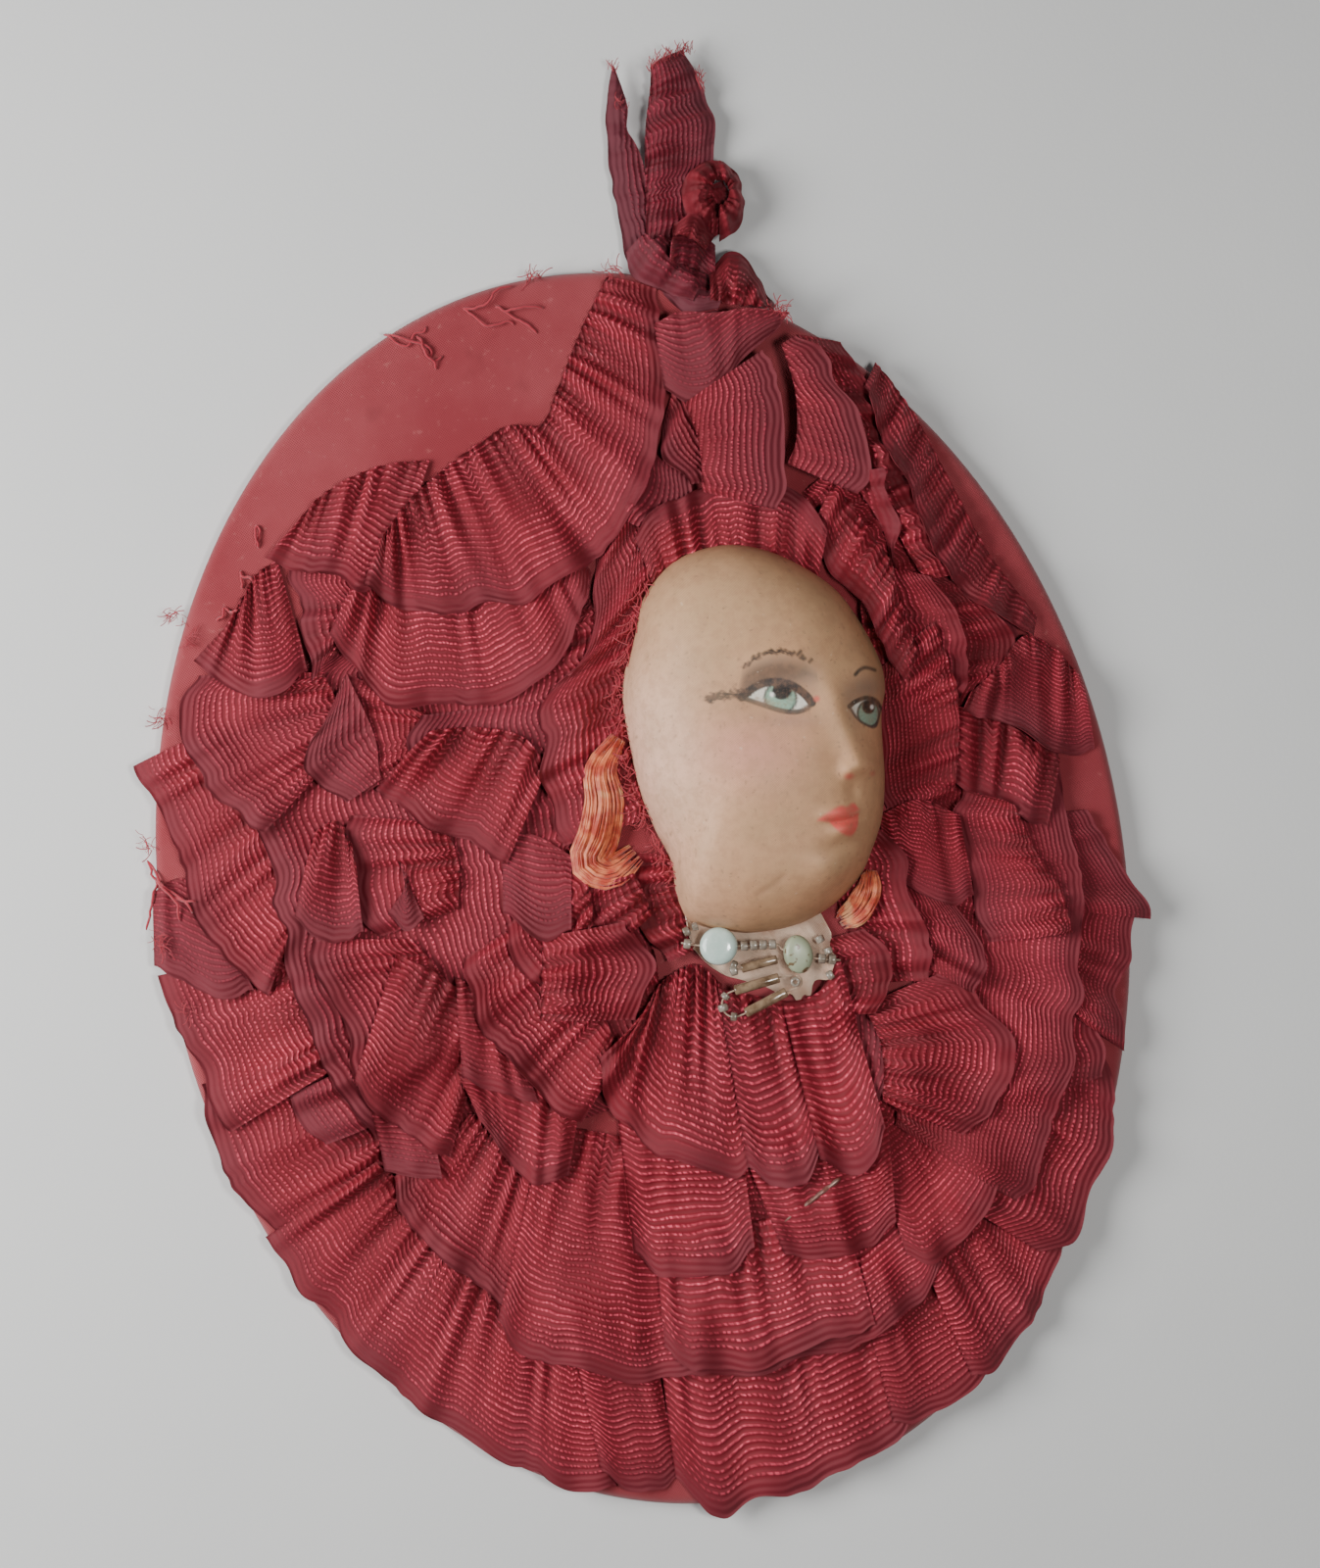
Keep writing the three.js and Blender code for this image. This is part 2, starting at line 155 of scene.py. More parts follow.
def weave(tree, pitch):
    """The relief of a plain weave, its threads this many metres apart."""
    split = add_node(tree, "ShaderNodeSeparateXYZ", {0: object_place(tree)})
    warp, weft = (maths(tree, "SINE", maths(tree, "MULTIPLY", split.outputs[k], 2 * math.pi / pitch))
                  for k in (0, 1))
    return maths(tree, "MULTIPLY", warp, weft)


def rgb(red, green, blue):
    """A colour given on the 0 to 255 scale, as the linear values that a shader takes."""
    return tuple((c / 255) ** 2.2 for c in (red, green, blue)) + (1.0,)


def table_surface():
    """Pale painted board, faintly mottled."""
    material, tree, shader = new_material("pale_board", Roughness=0.85)
    place = object_place(tree)
    mottle = noise(tree, place, 14.0, 4.0)
    colour = blend_colour(tree, mottle, rgb(210, 211, 211), rgb(220, 220, 219))
    tree.links.new(colour, shader.inputs["Base Color"])
    grain = noise(tree, place, 900.0, 2.0)
    tree.links.new(bump(tree, grain, 0.0001, 0.3), shader.inputs["Normal"])
    return material


bpy.ops.mesh.primitive_plane_add(size=6, location=(0, 0, -0.0004))
table = bpy.context.object
table.name = "table"
table.data.materials.append(table_surface())

# ------------------------------------------------------------
# The covered card. Brick-red cotton, faded and dusty, is stretched over an oval of pasteboard, pleated
# round its edge and glued down behind under a paper lining.
CARD = np.array(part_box("card_cover")) / MM
CARD_HALF = (CARD[1, :2] - CARD[0, :2]) / 2
COVER_BACK, COVER_TOP = CARD[:, 2]
CLOTH_THICK = 0.6
CLOTH_TURN_IN = 13.0
CARD_STEPS = 240


def make_piece(name, points, faces, materials, body="plaque"):
    """A mesh object from millimetre points, riding on a body unless it bends between two."""
    mesh = bpy.data.meshes.new(name)
    mesh.from_pydata((np.asarray(points) * MM).tolist(), [], [list(f) for f in faces])
    mesh.polygons.foreach_set("use_smooth", [True] * len(mesh.polygons))
    for material in materials:
        mesh.materials.append(material)
    made = bpy.data.objects.new(name, mesh)
    bpy.context.scene.collection.objects.link(made)
    if body:
        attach(made, body)
    return made


def grid_faces(rows, columns, start=0, closed_rows=False, closed_columns=False):
    """Quads between points stored row by row."""
    faces = []
    for i in range(rows if closed_rows else rows - 1):
        for j in range(columns if closed_columns else columns - 1):
            a = start + i * columns + j
            b = start + i * columns + (j + 1) % columns
            c = start + ((i + 1) % rows) * columns + (j + 1) % columns
            d = start + ((i + 1) % rows) * columns + j
            faces.append((a, b, c, d))
    return faces


def set_attribute(piece, name, values):
    """Store one number, or one colour, per point of the mesh."""
    values = np.asarray(values, dtype=float)
    if values.ndim == 1:
        layer = piece.data.attributes.new(name, "FLOAT", "POINT")
        layer.data.foreach_set("value", values)
    else:
        layer = piece.data.attributes.new(name, "FLOAT_COLOR", "POINT")
        layer.data.foreach_set("color", np.c_[values, np.ones(len(values))].ravel())


def cotton_cloth():
    material, tree, shader = new_material("faded_cotton", Roughness=0.92, Sheen_Weight=0.25)
    place = object_place(tree)
    split = add_node(tree, "ShaderNodeSeparateXYZ", {0: place})
    wander = noise(tree, place, 120.0)
    thread = 2 * math.pi / 0.00055
    warp = maths(tree, "SINE", maths(tree, "MULTIPLY_ADD", split.outputs[0], thread, wander))
    weft = maths(tree, "SINE", maths(tree, "MULTIPLY_ADD", split.outputs[1], thread * 0.9, wander))
    uneven_weave = maths(tree, "MULTIPLY", warp, weft)
    colour = patches(tree, rgb(140, 46, 54), rgb(156, 66, 72), 1.0, (22.0, 5.0, 0.6), 0.35, 0.7)
    colour = patches(tree, colour, rgb(184, 104, 102), 0.35, (700.0, 3.0), 0.62, 0.75)
    colour = patches(tree, colour, rgb(96, 26, 30), 0.5, (55.0, 3.0, 0.7), 0.62, 0.8)
    tree.links.new(colour, shader.inputs["Base Color"])
    relief = maths(tree, "MULTIPLY_ADD", uneven_weave, 0.5, noise(tree, place, 90.0, 3.0))
    tree.links.new(bump(tree, relief, 0.0003, 0.6), shader.inputs["Normal"])
    return material


def make_cover():
    """One skin from the middle of the front, round the edge to the turned-in edge, and back inside."""
    half_x, half_y = CARD_HALF
    height = COVER_TOP - COVER_BACK
    round_edge = height / 2
    turn = np.linspace(0, 2 * math.pi, CARD_STEPS, endpoint=False)
    pleats = 0.5 + 0.5 * np.sin(turn * 38 + 1.7 * np.sin(turn * 5))
    profile = [(share * 8.0, COVER_TOP, 0.0) for share in np.linspace(12, 1, 24)]
    for angle in np.linspace(90, -90, 13):
        lean = math.radians(angle)
        inset = round_edge * (1 - math.cos(lean))
        profile.append((inset, COVER_BACK + round_edge * (1 + math.sin(lean)), max(0.0, -math.sin(lean))))
    profile += [(CLOTH_TURN_IN * share, COVER_BACK, 1.0) for share in (0.4, 0.7, 1.0)]
    inner_edge, inner_back, inner_top = round_edge + 1.2, COVER_BACK + CLOTH_THICK, COVER_TOP - CLOTH_THICK
    profile += [(CLOTH_TURN_IN, inner_back, 0.3), (inner_edge, inner_back, 0.0)]
    profile += [(inner_edge, inner_top, 0.0), (96.0, inner_top, 0.0)]
    rings = []
    for inset, level, crumple in profile:
        ripple = 0.22 * np.sin(turn * 9 + inset * 0.05) * min(1.0, inset / 20)
        ring_x = (half_x - inset - 0.5 * crumple * pleats) * np.cos(turn)
        ring_y = (half_y - inset - 0.5 * crumple * pleats) * np.sin(turn)
        ring_z = level + crumple * 0.3 * pleats * (0.4 if level < COVER_BACK + 1 else 0.0)
        ring_z = ring_z + (0.15 * ripple if level == COVER_TOP else 0.0)
        rings.append(np.c_[ring_x, ring_y, ring_z * np.ones(CARD_STEPS)])
    points = np.concatenate(rings)
    faces = grid_faces(len(rings), CARD_STEPS, closed_columns=True)
    last = (len(rings) - 1) * CARD_STEPS
    middle = [[0, 0, COVER_TOP], [0, 0, COVER_TOP - CLOTH_THICK]]
    top, under = len(points), len(points) + 1
    for k in range(CARD_STEPS):
        after = (k + 1) % CARD_STEPS
        faces.append((top, after, k))
        faces.append((under, last + k, last + after))
    return make_piece("cotton_cover", np.concatenate([points, middle]), faces, [cotton_cloth()])


def face_outward(piece):
    """Turn the faces of a closed mesh outwards."""
    work = bmesh.new()
    work.from_mesh(piece.data)
    bmesh.ops.recalc_face_normals(work, faces=work.faces)
    work.to_mesh(piece.data)
    work.free()


cover = make_cover()
face_outward(cover)
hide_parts("card_cover")


def pasteboard():
    material, tree, shader = new_material("pasteboard", Roughness=0.95)
    fibre = noise(tree, object_place(tree), 500.0, 6.0, 0.7)
    colour = blend_colour(tree, fibre, rgb(150, 124, 100), rgb(186, 160, 134))
    tree.links.new(colour, shader.inputs["Base Color"])
    tree.links.new(bump(tree, fibre, 0.0002, 0.5), shader.inputs["Normal"])
    return material


def lining_paper():
    """Brown paper, foxed, with the marks of the paste under it."""
    material, tree, shader = new_material("lining_paper", Roughness=0.88)
    place = object_place(tree)
    fibre = noise(tree, place, 260.0, 6.0, 0.75)
    paste = ramp(tree, noise(tree, place, 9.0, 3.0), 0.4, 0.65)
    colour = blend_colour(tree, fibre, rgb(150, 128, 100), rgb(176, 154, 124))
    colour = blend_colour(tree, maths(tree, "MULTIPLY", paste, 0.35), colour, rgb(128, 102, 78))
    colour = patches(tree, colour, rgb(112, 78, 52), 0.6, (45.0, 3.0, 0.6), 0.58, 0.76)
    tree.links.new(colour, shader.inputs["Base Color"])
    relief = maths(tree, "MULTIPLY_ADD", paste, 1.5, fibre)
    tree.links.new(bump(tree, relief, 0.0004, 0.7), shader.inputs["Normal"])
    return material


def finish_node(node, material):
    """Give a carried-over solid its material."""
    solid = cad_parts[node]
    solid.data.materials.clear()
    solid.data.materials.append(material)


finish_node("base_card", pasteboard())
finish_node("back_lining", lining_paper())

# ------------------------------------------------------------
# The ribbon. 38 mm wide, dark red, with rows of raised floats along it and a plain woven edge; the floats'
# glint is painted into their colour as a lighter red, and painted shade darkens the hollows between the
# rows and in the gathers.
# Each length is gathered on a thread and sewn down along one side; its other side, the hem, lies free
# over the row below.
RIBBON_THICK = 0.34
FLOAT_ROW = 1.35
FLOAT_LENGTH = 1.1
SELVEDGE = 3.4
TUCK = 7.0


def ribbon_cloth(name, ground, bright, dusty, sheen=0.25, painted_glint_left=1.0):
    """The figured ribbon. UV "run" holds millimetres along the ribbon and in from its hem; "dull" is how
    far the colour has faded to dusty and how much of the painted glint on the floats is gone, and the
    gather attribute how deep a point lies in a gather, darkened there as painted shade; both from 0 to 1."""
    material, tree, shader = new_material(name, Sheen_Weight=sheen, Sheen_Roughness=0.35)
    shader.inputs["Sheen Tint"].default_value = rgb(225, 90, 100)
    run = add_node(tree, "ShaderNodeUVMap", uv_map="run").outputs[0]
    split = add_node(tree, "ShaderNodeSeparateXYZ", {0: run})
    along, inward = split.outputs[0], split.outputs[1]
    dull = add_node(tree, "ShaderNodeAttribute", attribute_name="dull").outputs["Fac"]
    fold = add_node(tree, "ShaderNodeAttribute", attribute_name="fold").outputs["Fac"]
    place = object_place(tree)
    stray = maths(tree, "MULTIPLY_ADD", noise(tree, run, 0.1, 0.5), 2.6, -1.3)
    across = maths(tree, "DIVIDE", maths(tree, "ADD", inward, stray), FLOAT_ROW)
    row = maths(tree, "FLOOR", maths(tree, "ADD", across, 0.5))
    slant = maths(tree, "MULTIPLY", maths(tree, "SUBTRACT", across, row), 0.42)
    drift = maths(tree, "MULTIPLY_ADD", noise(tree, run, 0.5), 1.8, slant)
    offset = maths(tree, "MULTIPLY_ADD", row, 0.46, drift)
    beat = maths(tree, "ADD", maths(tree, "DIVIDE", along, FLOAT_LENGTH), offset)
    ridge = maths(tree, "COSINE", maths(tree, "MULTIPLY", across, 2 * math.pi))
    dash = maths(tree, "COSINE", maths(tree, "MULTIPLY", beat, 2 * math.pi))
    joined = ramp(tree, noise(tree, run, 0.07, 1.0), 0.4, 0.6, 0.0, 0.55)
    float_share = maths(tree, "MAXIMUM", joined, ramp(tree, dash, -0.7, 0.3))
    raised = maths(tree, "MULTIPLY", ramp(tree, ridge, 0.0, 0.8), float_share)
    figured = maths(tree, "MULTIPLY", raised, ramp(tree, inward, SELVEDGE - 0.6, SELVEDGE + 0.6))
    # Painted glint: the floats are coloured lighter in random patches and sparkles, less where the ribbon
    # is dull.
    patch = ramp(tree, noise(tree, place, 60.0, 3.0, 0.6), 0.34, 0.62, 0.2, 1.0)
    painted_sparkle = ramp(tree, noise(tree, run, 0.85, 1.0), 0.35, 0.65, 0.35 * painted_glint_left, 1.25 * painted_glint_left)
    fresh = maths(tree, "SUBTRACT", 1.0, dull)
    painted_glint_share = maths(tree, "MULTIPLY", fresh, maths(tree, "MULTIPLY", patch, painted_sparkle))
    painted_float_glint = maths(tree, "MULTIPLY", figured, maths(tree, "MULTIPLY_ADD", painted_glint_share, 0.85, 0.15))
    worn = ramp(tree, noise(tree, place, 38.0, 4.0, 0.6), 0.3, 0.75)
    base = blend_colour(tree, maths(tree, "MULTIPLY_ADD", worn, 0.25, dull), ground, dusty)
    # Painted shade: a darker red in the hollows between the rows of floats.
    painted_rib_shade = maths(tree, "MULTIPLY", ramp(tree, ridge, -1.0, -0.2, 0.3, 0.0), fresh)
    painted_shade_red = tuple(0.4 * c for c in ground[:3]) + (1.0,)
    base = blend_colour(tree, painted_rib_shade, base, painted_shade_red)
    colour = blend_colour(tree, painted_float_glint, base, bright)
    # Painted shade in the gathers, from how deep each point lies in one.
    colour = blend_colour(tree, maths(tree, "MULTIPLY", fold, 0.6), colour, painted_shade_red)
    tree.links.new(colour, shader.inputs["Base Color"])
    roughness = ramp(tree, painted_float_glint, 0.0, 1.0, 0.7, 0.3)
    tree.links.new(roughness, shader.inputs["Roughness"])
    grain = maths(tree, "SINE", maths(tree, "MULTIPLY", along, 2 * math.pi / 0.3))
    ribs = maths(tree, "SINE", maths(tree, "MULTIPLY", inward, 2 * math.pi / 0.42))
    fine = maths(tree, "MULTIPLY", maths(tree, "MULTIPLY", grain, ribs), 0.12)
    relief = maths(tree, "ADD", maths(tree, "MULTIPLY_ADD", ridge, 0.35, figured), fine)
    tree.links.new(bump(tree, relief, 0.00032, 0.8), shader.inputs["Normal"])
    return material


# The second colour is the painted glint on the floats.
RED_RIBBON = ribbon_cloth("red_ribbon", rgb(130, 13, 33), rgb(250, 88, 112), rgb(112, 34, 46))

# What is already on the card, as a relief on a square grid: each length of ribbon is laid on top of it.
PILE_STEP = 1.0
PILE_CORNER = np.array([-126.0, -152.0])
PILE_SHAPE = (253, 345)
pile_x = PILE_CORNER[0] + PILE_STEP * np.arange(PILE_SHAPE[0])[:, None]
pile_y = PILE_CORNER[1] + PILE_STEP * np.arange(PILE_SHAPE[1])[None, :]
on_card = (pile_x / CARD_HALF[0]) ** 2 + (pile_y / CARD_HALF[1]) ** 2 < 1
pile = np.where(on_card, COVER_TOP, COVER_TOP - 2.5)


def pile_at(x, y):
    """The pile's height under a point, between grid points."""
    at_x = np.clip((x - PILE_CORNER[0]) / PILE_STEP, 0, PILE_SHAPE[0] - 1.001)
    at_y = np.clip((y - PILE_CORNER[1]) / PILE_STEP, 0, PILE_SHAPE[1] - 1.001)
    i, j = at_x.astype(int), at_y.astype(int)
    s, t = at_x - i, at_y - j
    low = pile[i, j] * (1 - t) + pile[i, j + 1] * t
    high = pile[i + 1, j] * (1 - t) + pile[i + 1, j + 1] * t
    return low * (1 - s) + high * s


def soften(field, passes):
    """Average each point with its neighbours along both ways of a grid, keeping the ends."""
    for _ in range(passes):
        for axis in (0, 1):
            padded = np.concatenate([field.take([0], axis), field, field.take([-1], axis)], axis)
            first, mid, last = (padded.take(range(k, k + field.shape[axis]), axis) for k in (0, 1, 2))
            field = 0.25 * first + 0.5 * mid + 0.25 * last
    return field


def add_to_pile(points):
    """Mark a laid surface's height on the pile; points is a grid of [x, y, z]."""
    fine = points
    for axis in (0, 1):
        count = fine.shape[axis]
        halves = (fine.take(range(count - 1), axis) + fine.take(range(1, count), axis)) / 2
        fine = np.concatenate([fine, halves], axis)
    flat = fine.reshape(-1, 3)
    i = np.clip(np.round((flat[:, 0] - PILE_CORNER[0]) / PILE_STEP).astype(int), 0, PILE_SHAPE[0] - 1)
    j = np.clip(np.round((flat[:, 1] - PILE_CORNER[1]) / PILE_STEP).astype(int), 0, PILE_SHAPE[1] - 1)
    np.maximum.at(pile, (i, j), flat[:, 2])


def smooth_line(corners, count):
    """A smooth line through a few corners, as evenly spaced points."""
    corners = np.array(corners, dtype=float)
    ends = np.concatenate([[2 * corners[0] - corners[1]], corners, [2 * corners[-1] - corners[-2]]])
    pieces = []
    for a, b, c, d in zip(ends[:-3], ends[1:-2], ends[2:-1], ends[3:]):
        t = np.linspace(0, 1, 24, endpoint=False)[:, None]
        bend = (2 * a - 5 * b + 4 * c - d) * t**2 + (3 * b - a - 3 * c + d) * t**3
        pieces.append((2 * b + (c - a) * t + bend) / 2)
    line = np.concatenate(pieces + [corners[-1:]])
    gone = np.concatenate([[0], np.cumsum(np.linalg.norm(np.diff(line, axis=0), axis=1))])
    even = np.linspace(0, gone[-1], count)
    return np.stack([np.interp(even, gone, line[:, k]) for k in range(line.shape[1])], axis=1)


def line_length(corners):
    return float(np.linalg.norm(np.diff(smooth_line(corners, 60), axis=0), axis=1).sum())


def tuck_in(seam, hem, tuck):
    """Move a seam's corners away from the hem."""
    nearest = smooth_line(hem, len(seam))
    seam = np.array(seam, dtype=float)
    away = seam - nearest
    return seam + tuck * away / np.maximum(np.linalg.norm(away, axis=1, keepdims=True), 1e-6)


def lay_flap(seam, hem, seed, dull=0.15, gather=1.0, puff=1.8, lift=1.5, curl=0.5, tuck=TUCK, least=0.0,
             crumple=0.0, pitch=1.0, blunt=0.12):
    """One length of ribbon between the line that it is sewn along and its free hem, both as [x, y] corners
    that run the same way. It lies on the pile, gathered at the seam and waving towards the hem. Its seam
    is tucked that far under whatever is laid next to it, and it lies no lower than least."""
    random = np.random.default_rng(seed)
    seam = tuck_in(seam, hem, tuck)
    hem_length = line_length(hem)
    width = np.mean([math.dist(a, b) for a, b in ((seam[0], hem[0]), (seam[-1], hem[-1]))])
    columns = max(14, int(max(hem_length, line_length(seam)) / 0.75))
    rows = max(10, int(width / 1.0))
    inner = smooth_line(seam, columns)
    outer = smooth_line(hem, columns)
    v = np.linspace(0, 1, rows)[None, :]
    reach = np.linalg.norm(outer - inner, axis=1)[:, None]
    from_end = np.minimum(np.arange(columns), np.arange(columns)[::-1])[:, None] * hem_length / columns
    share = (v * (1 - blunt * np.exp(-((from_end / 3.2) ** 2))))[..., None]
    plan = inner[:, None, :] * (1 - share) + outer[:, None, :] * share
    from_seam = v * reach
    from_hem = (1 - v) * reach
    along = np.linspace(0, hem_length, columns)[:, None]

    low = pile_at(plan[..., 0], plan[..., 1])
    bed = low
    for _ in range(3):
        bed = np.maximum(soften(bed, 6), low)
    bed = np.maximum(soften(bed, 2) + RIBBON_THICK + 0.15, least)

    def waves(length, drift):
        phase = random.uniform(0, 6.28, 3)
        turn = 2 * math.pi * along / length
        wander = drift * np.sin(turn * 0.37 + phase[1]) + 0.6 * drift * np.sin(turn * 0.61 + phase[2])
        return 0.5 + 0.5 * np.sin(turn + wander + phase[0])

    gather_wave = waves(3.2, 1.5)
    flute_wave = waves(9.5, 1.6)
    near_seam, mid_width = np.exp(-from_seam / 6.0), np.exp(-((from_seam / 20.0) ** 2))
    gathers = gather * 2.0 * gather_wave * near_seam
    flutes = gather * 2.1 * flute_wave * mid_width * np.minimum(1, from_seam / 3)
    # Painted shade: how deep each point lies in a gather or flute, which darkens the ribbon's colour there.
    fold = gather * (0.9 * (1 - gather_wave) ** 2 * near_seam + 0.75 * (1 - flute_wave) ** 3 * mid_width)
    flare = lift * waves(21.0, 1.5) * v**2
    belly = puff * np.sin(math.pi * np.clip(v, 0, 1) ** 0.8) * (0.6 + 0.4 * waves(30.0, 1.0))
    creases = crumple * (waves(8.0, 2.0) * np.sin(from_seam / 2.1 + 2 * waves(15.0, 1.0)) + waves(5.0, 2.0))
    rise = creases * np.minimum(1, from_hem / 2) + 0.5 * lift * v**3 - curl * np.exp(-from_hem / 1.2)
    rise = rise - 1.2 * np.exp(-from_end / 1.3)
    height = np.maximum(bed + gathers + flutes + flare + belly + rise, bed)
    pull = gather * np.exp(-from_seam / 20) * np.minimum(1, from_seam / 4) * (1 - v)
    sway = 1.9 * (waves(6.4, 1.8) - 0.5) * pull
    sway = sway + (1.9 * (waves(34.0, 2.5) - 0.5) + 0.4 * (waves(11.0, 2.5) - 0.5)) * v
    across = (outer - inner) / np.maximum(reach, 1e-6)
    plan = plan + sway[..., None] * across[:, None, :]
    points = np.concatenate([plan, height[..., None]], axis=2)
    add_to_pile(points)

    # Near the hem the ribbon is faded towards dusty and loses its painted glint; near the seam its painted
    # glint is stronger.
    hem_fade_and_glint_loss = 0.55 * np.exp(-((from_hem / 6.5) ** 2))
    painted_seam_glint = 0.35 * np.exp(-from_seam / 9.0)
    dullness = np.clip(dull + hem_fade_and_glint_loss - painted_seam_glint + 0.18 * (waves(26.0, 1.5) - 0.5), 0, 1)
    run = np.stack([np.broadcast_to(along, from_hem.shape), from_hem], axis=2) / pitch
    return {"points": points, "run": run, "dull": dullness, "fold": np.clip(fold, 0, 1)}


def cloth_piece(name, flaps, node, body="plaque", material=RED_RIBBON):
    """Join laid flaps into one piece of cloth with its real thickness, cut that wide and as long as it
    needs, and put it in the place of its CAD node."""
    points, faces, runs, dulls, fold_shades, start = [], [], [], [], [], 0
    for flap in flaps:
        grid = flap["points"]
        rows, columns = grid.shape[:2]
        along = np.gradient(grid, axis=0)
        inward = np.gradient(grid, axis=1)
        normal = np.cross(along, inward)
        normal /= np.maximum(np.linalg.norm(normal, axis=2, keepdims=True), 1e-9)
        normal *= np.sign(normal[..., 2].mean() or 1.0)
        under = grid - normal * RIBBON_THICK
        size = rows * columns
        upward = np.cross(along, inward)[..., 2].mean() > 0
        top = grid_faces(rows, columns, start)
        bottom = [tuple(reversed([k + size for k in face])) for face in top]
        rim = list(range(columns))
        rim += [i * columns + columns - 1 for i in range(1, rows)]
        rim += [(rows - 1) * columns + j for j in range(columns - 2, -1, -1)]
        rim += [i * columns for i in range(rows - 2, 0, -1)]
        rim = [start + k for k in rim]
        wall = [(a, a + size, b + size, b) for a, b in zip(rim, rim[1:] + rim[:1])]
        # grid_faces runs along a row first, so its normal is inward x along
        made = top + bottom + [tuple(reversed(face)) for face in wall]
        if upward:
            made = [tuple(reversed(face)) for face in made]
        faces += made
        points += [grid.reshape(-1, 3), under.reshape(-1, 3)]
        runs += [flap["run"].reshape(-1, 2)] * 2
        dulls += [flap["dull"].ravel()] * 2
        fold_shades += [flap["fold"].ravel()] * 2
        start += 2 * size
    piece = make_piece(name, np.concatenate(points), faces, [material], body)
    runs = np.concatenate(runs)
    corner_points = np.empty(len(piece.data.loops), dtype=np.int32)
    piece.data.loops.foreach_get("vertex_index", corner_points)
    layer = piece.data.uv_layers.new(name="run")
    layer.data.foreach_set("uv", runs[corner_points].ravel())
    set_attribute(piece, "dull", np.concatenate(dulls))
    set_attribute(piece, "fold", np.concatenate(fold_shades))
    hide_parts(node)
    return piece


def flap(seam, hem, dull=0.15, **settings):
    """A flap that is still to be laid: its sewn line, its hem and how it lies."""
    return seam, hem, {"dull": dull, **settings}


def ribbon_row(ending, node_ending, lengths):
    """Sew on lengths of ribbon in order. Each piece takes the place of the CAD node with the same name but
    for one word."""
    for index, (name, flaps) in enumerate(lengths.items()):
        laid = []
        for number, (seam, hem, settings) in enumerate(flaps):
            seed = 97 * len(name) + 13 * index + number + int(seam[0][0] * 3 + hem[0][1] * 5) % 1000
            laid.append(lay_flap(seam, hem, seed, **settings))
        cloth_piece(name, laid, name.replace(ending, node_ending))
# The outer row, over the card's edge.
ribbon_row("frill", "ruffle", {
    "outer_frill_lower_left": [
        flap([(-80, -22), (-74, -38), (-72, -52)],
             [(-103, -24), (-100.5, -38), (-98, -48), (-92, -59)], blunt=0),
        flap([(-72, 4), (-70, -14), (-72, -30)], [(-84, -4), (-83, -18), (-84, -30)], 0.9),
        flap([(-70, -26), (-70, -40)], [(-86, -30), (-80, -42)], 0.8),
        flap([(-74, -50), (-68, -58), (-58, -72), (-50, -84), (-38, -92), (-27, -95)],
             [(-95.5, -59.5), (-92, -66), (-88, -72), (-83.5, -80), (-80, -86), (-76, -91), (-70, -99),
              (-60, -109), (-52, -116), (-46, -121), (-37, -126), (-30, -129)], blunt=0.04),
        flap([(-33, -92), (-26, -96), (-16, -98)], [(-32, -128), (-26, -129), (-22, -128.5), (-16, -132)]),
    ],
    "outer_frill_bottom": [
        flap([(-15, -98), (0, -100), (15, -100), (28, -98), (36, -95)],
             [(-17, -131), (-9, -136.5), (0, -135), (9, -136), (17, -133.5), (28, -130),
              (38, -127)], pitch=1.3),
    ],
    "outer_frill_lower_right": [
        flap([(30, -95), (39, -94), (50, -92)], [(32, -128.5), (42, -123.5), (48, -120), (57, -116)]),
        flap([(45, -93), (55, -86), (66, -74)],
             [(51, -119.5), (56, -115.5), (62, -110), (68, -105), (72, -98), (77, -91)]),
        flap([(58, -82), (72, -60), (80, -44)],
             [(72, -95), (79, -90), (82, -84), (85, -79), (89.5, -72), (91, -65), (93, -54)], 0.1),
    ],
    "outer_frill_left": [
        flap([(-84, 2), (-77, -12), (-79, -28)],
             [(-107, 1), (-105, -9), (-102.5, -20), (-97, -35)], blunt=0),
        flap([(-106, 12), (-99, 14), (-94, 10), (-89, 2)],
             [(-108, 0.5), (-100, -2.2), (-93, -6), (-85.5, -9)], 0.9, gather=0.4),
        flap([(-91, 50), (-86, 38), (-79, 25), (-74, 12), (-77, 3)],
             [(-103, 47), (-101, 38), (-97, 22), (-93, 4), (-84, -8.5)], blunt=0),
    ],
    "outer_frill_right": [
        flap([(66, -26), (70, -45), (74, -60)], [(90, -22), (92, -42), (92, -58)], 0.15),
        flap([(86, -16), (89, -36), (90, -48)],
             [(106, -22), (98.5, -38), (96.5, -46), (97, -55)], 0.2, pitch=0.75, blunt=0),
        flap([(83, 0), (85, -12), (88, -21)],
             [(97, -1), (103, -13), (107, -27)], 0.45, gather=0.8, pitch=0.75, blunt=0),
    ],
})

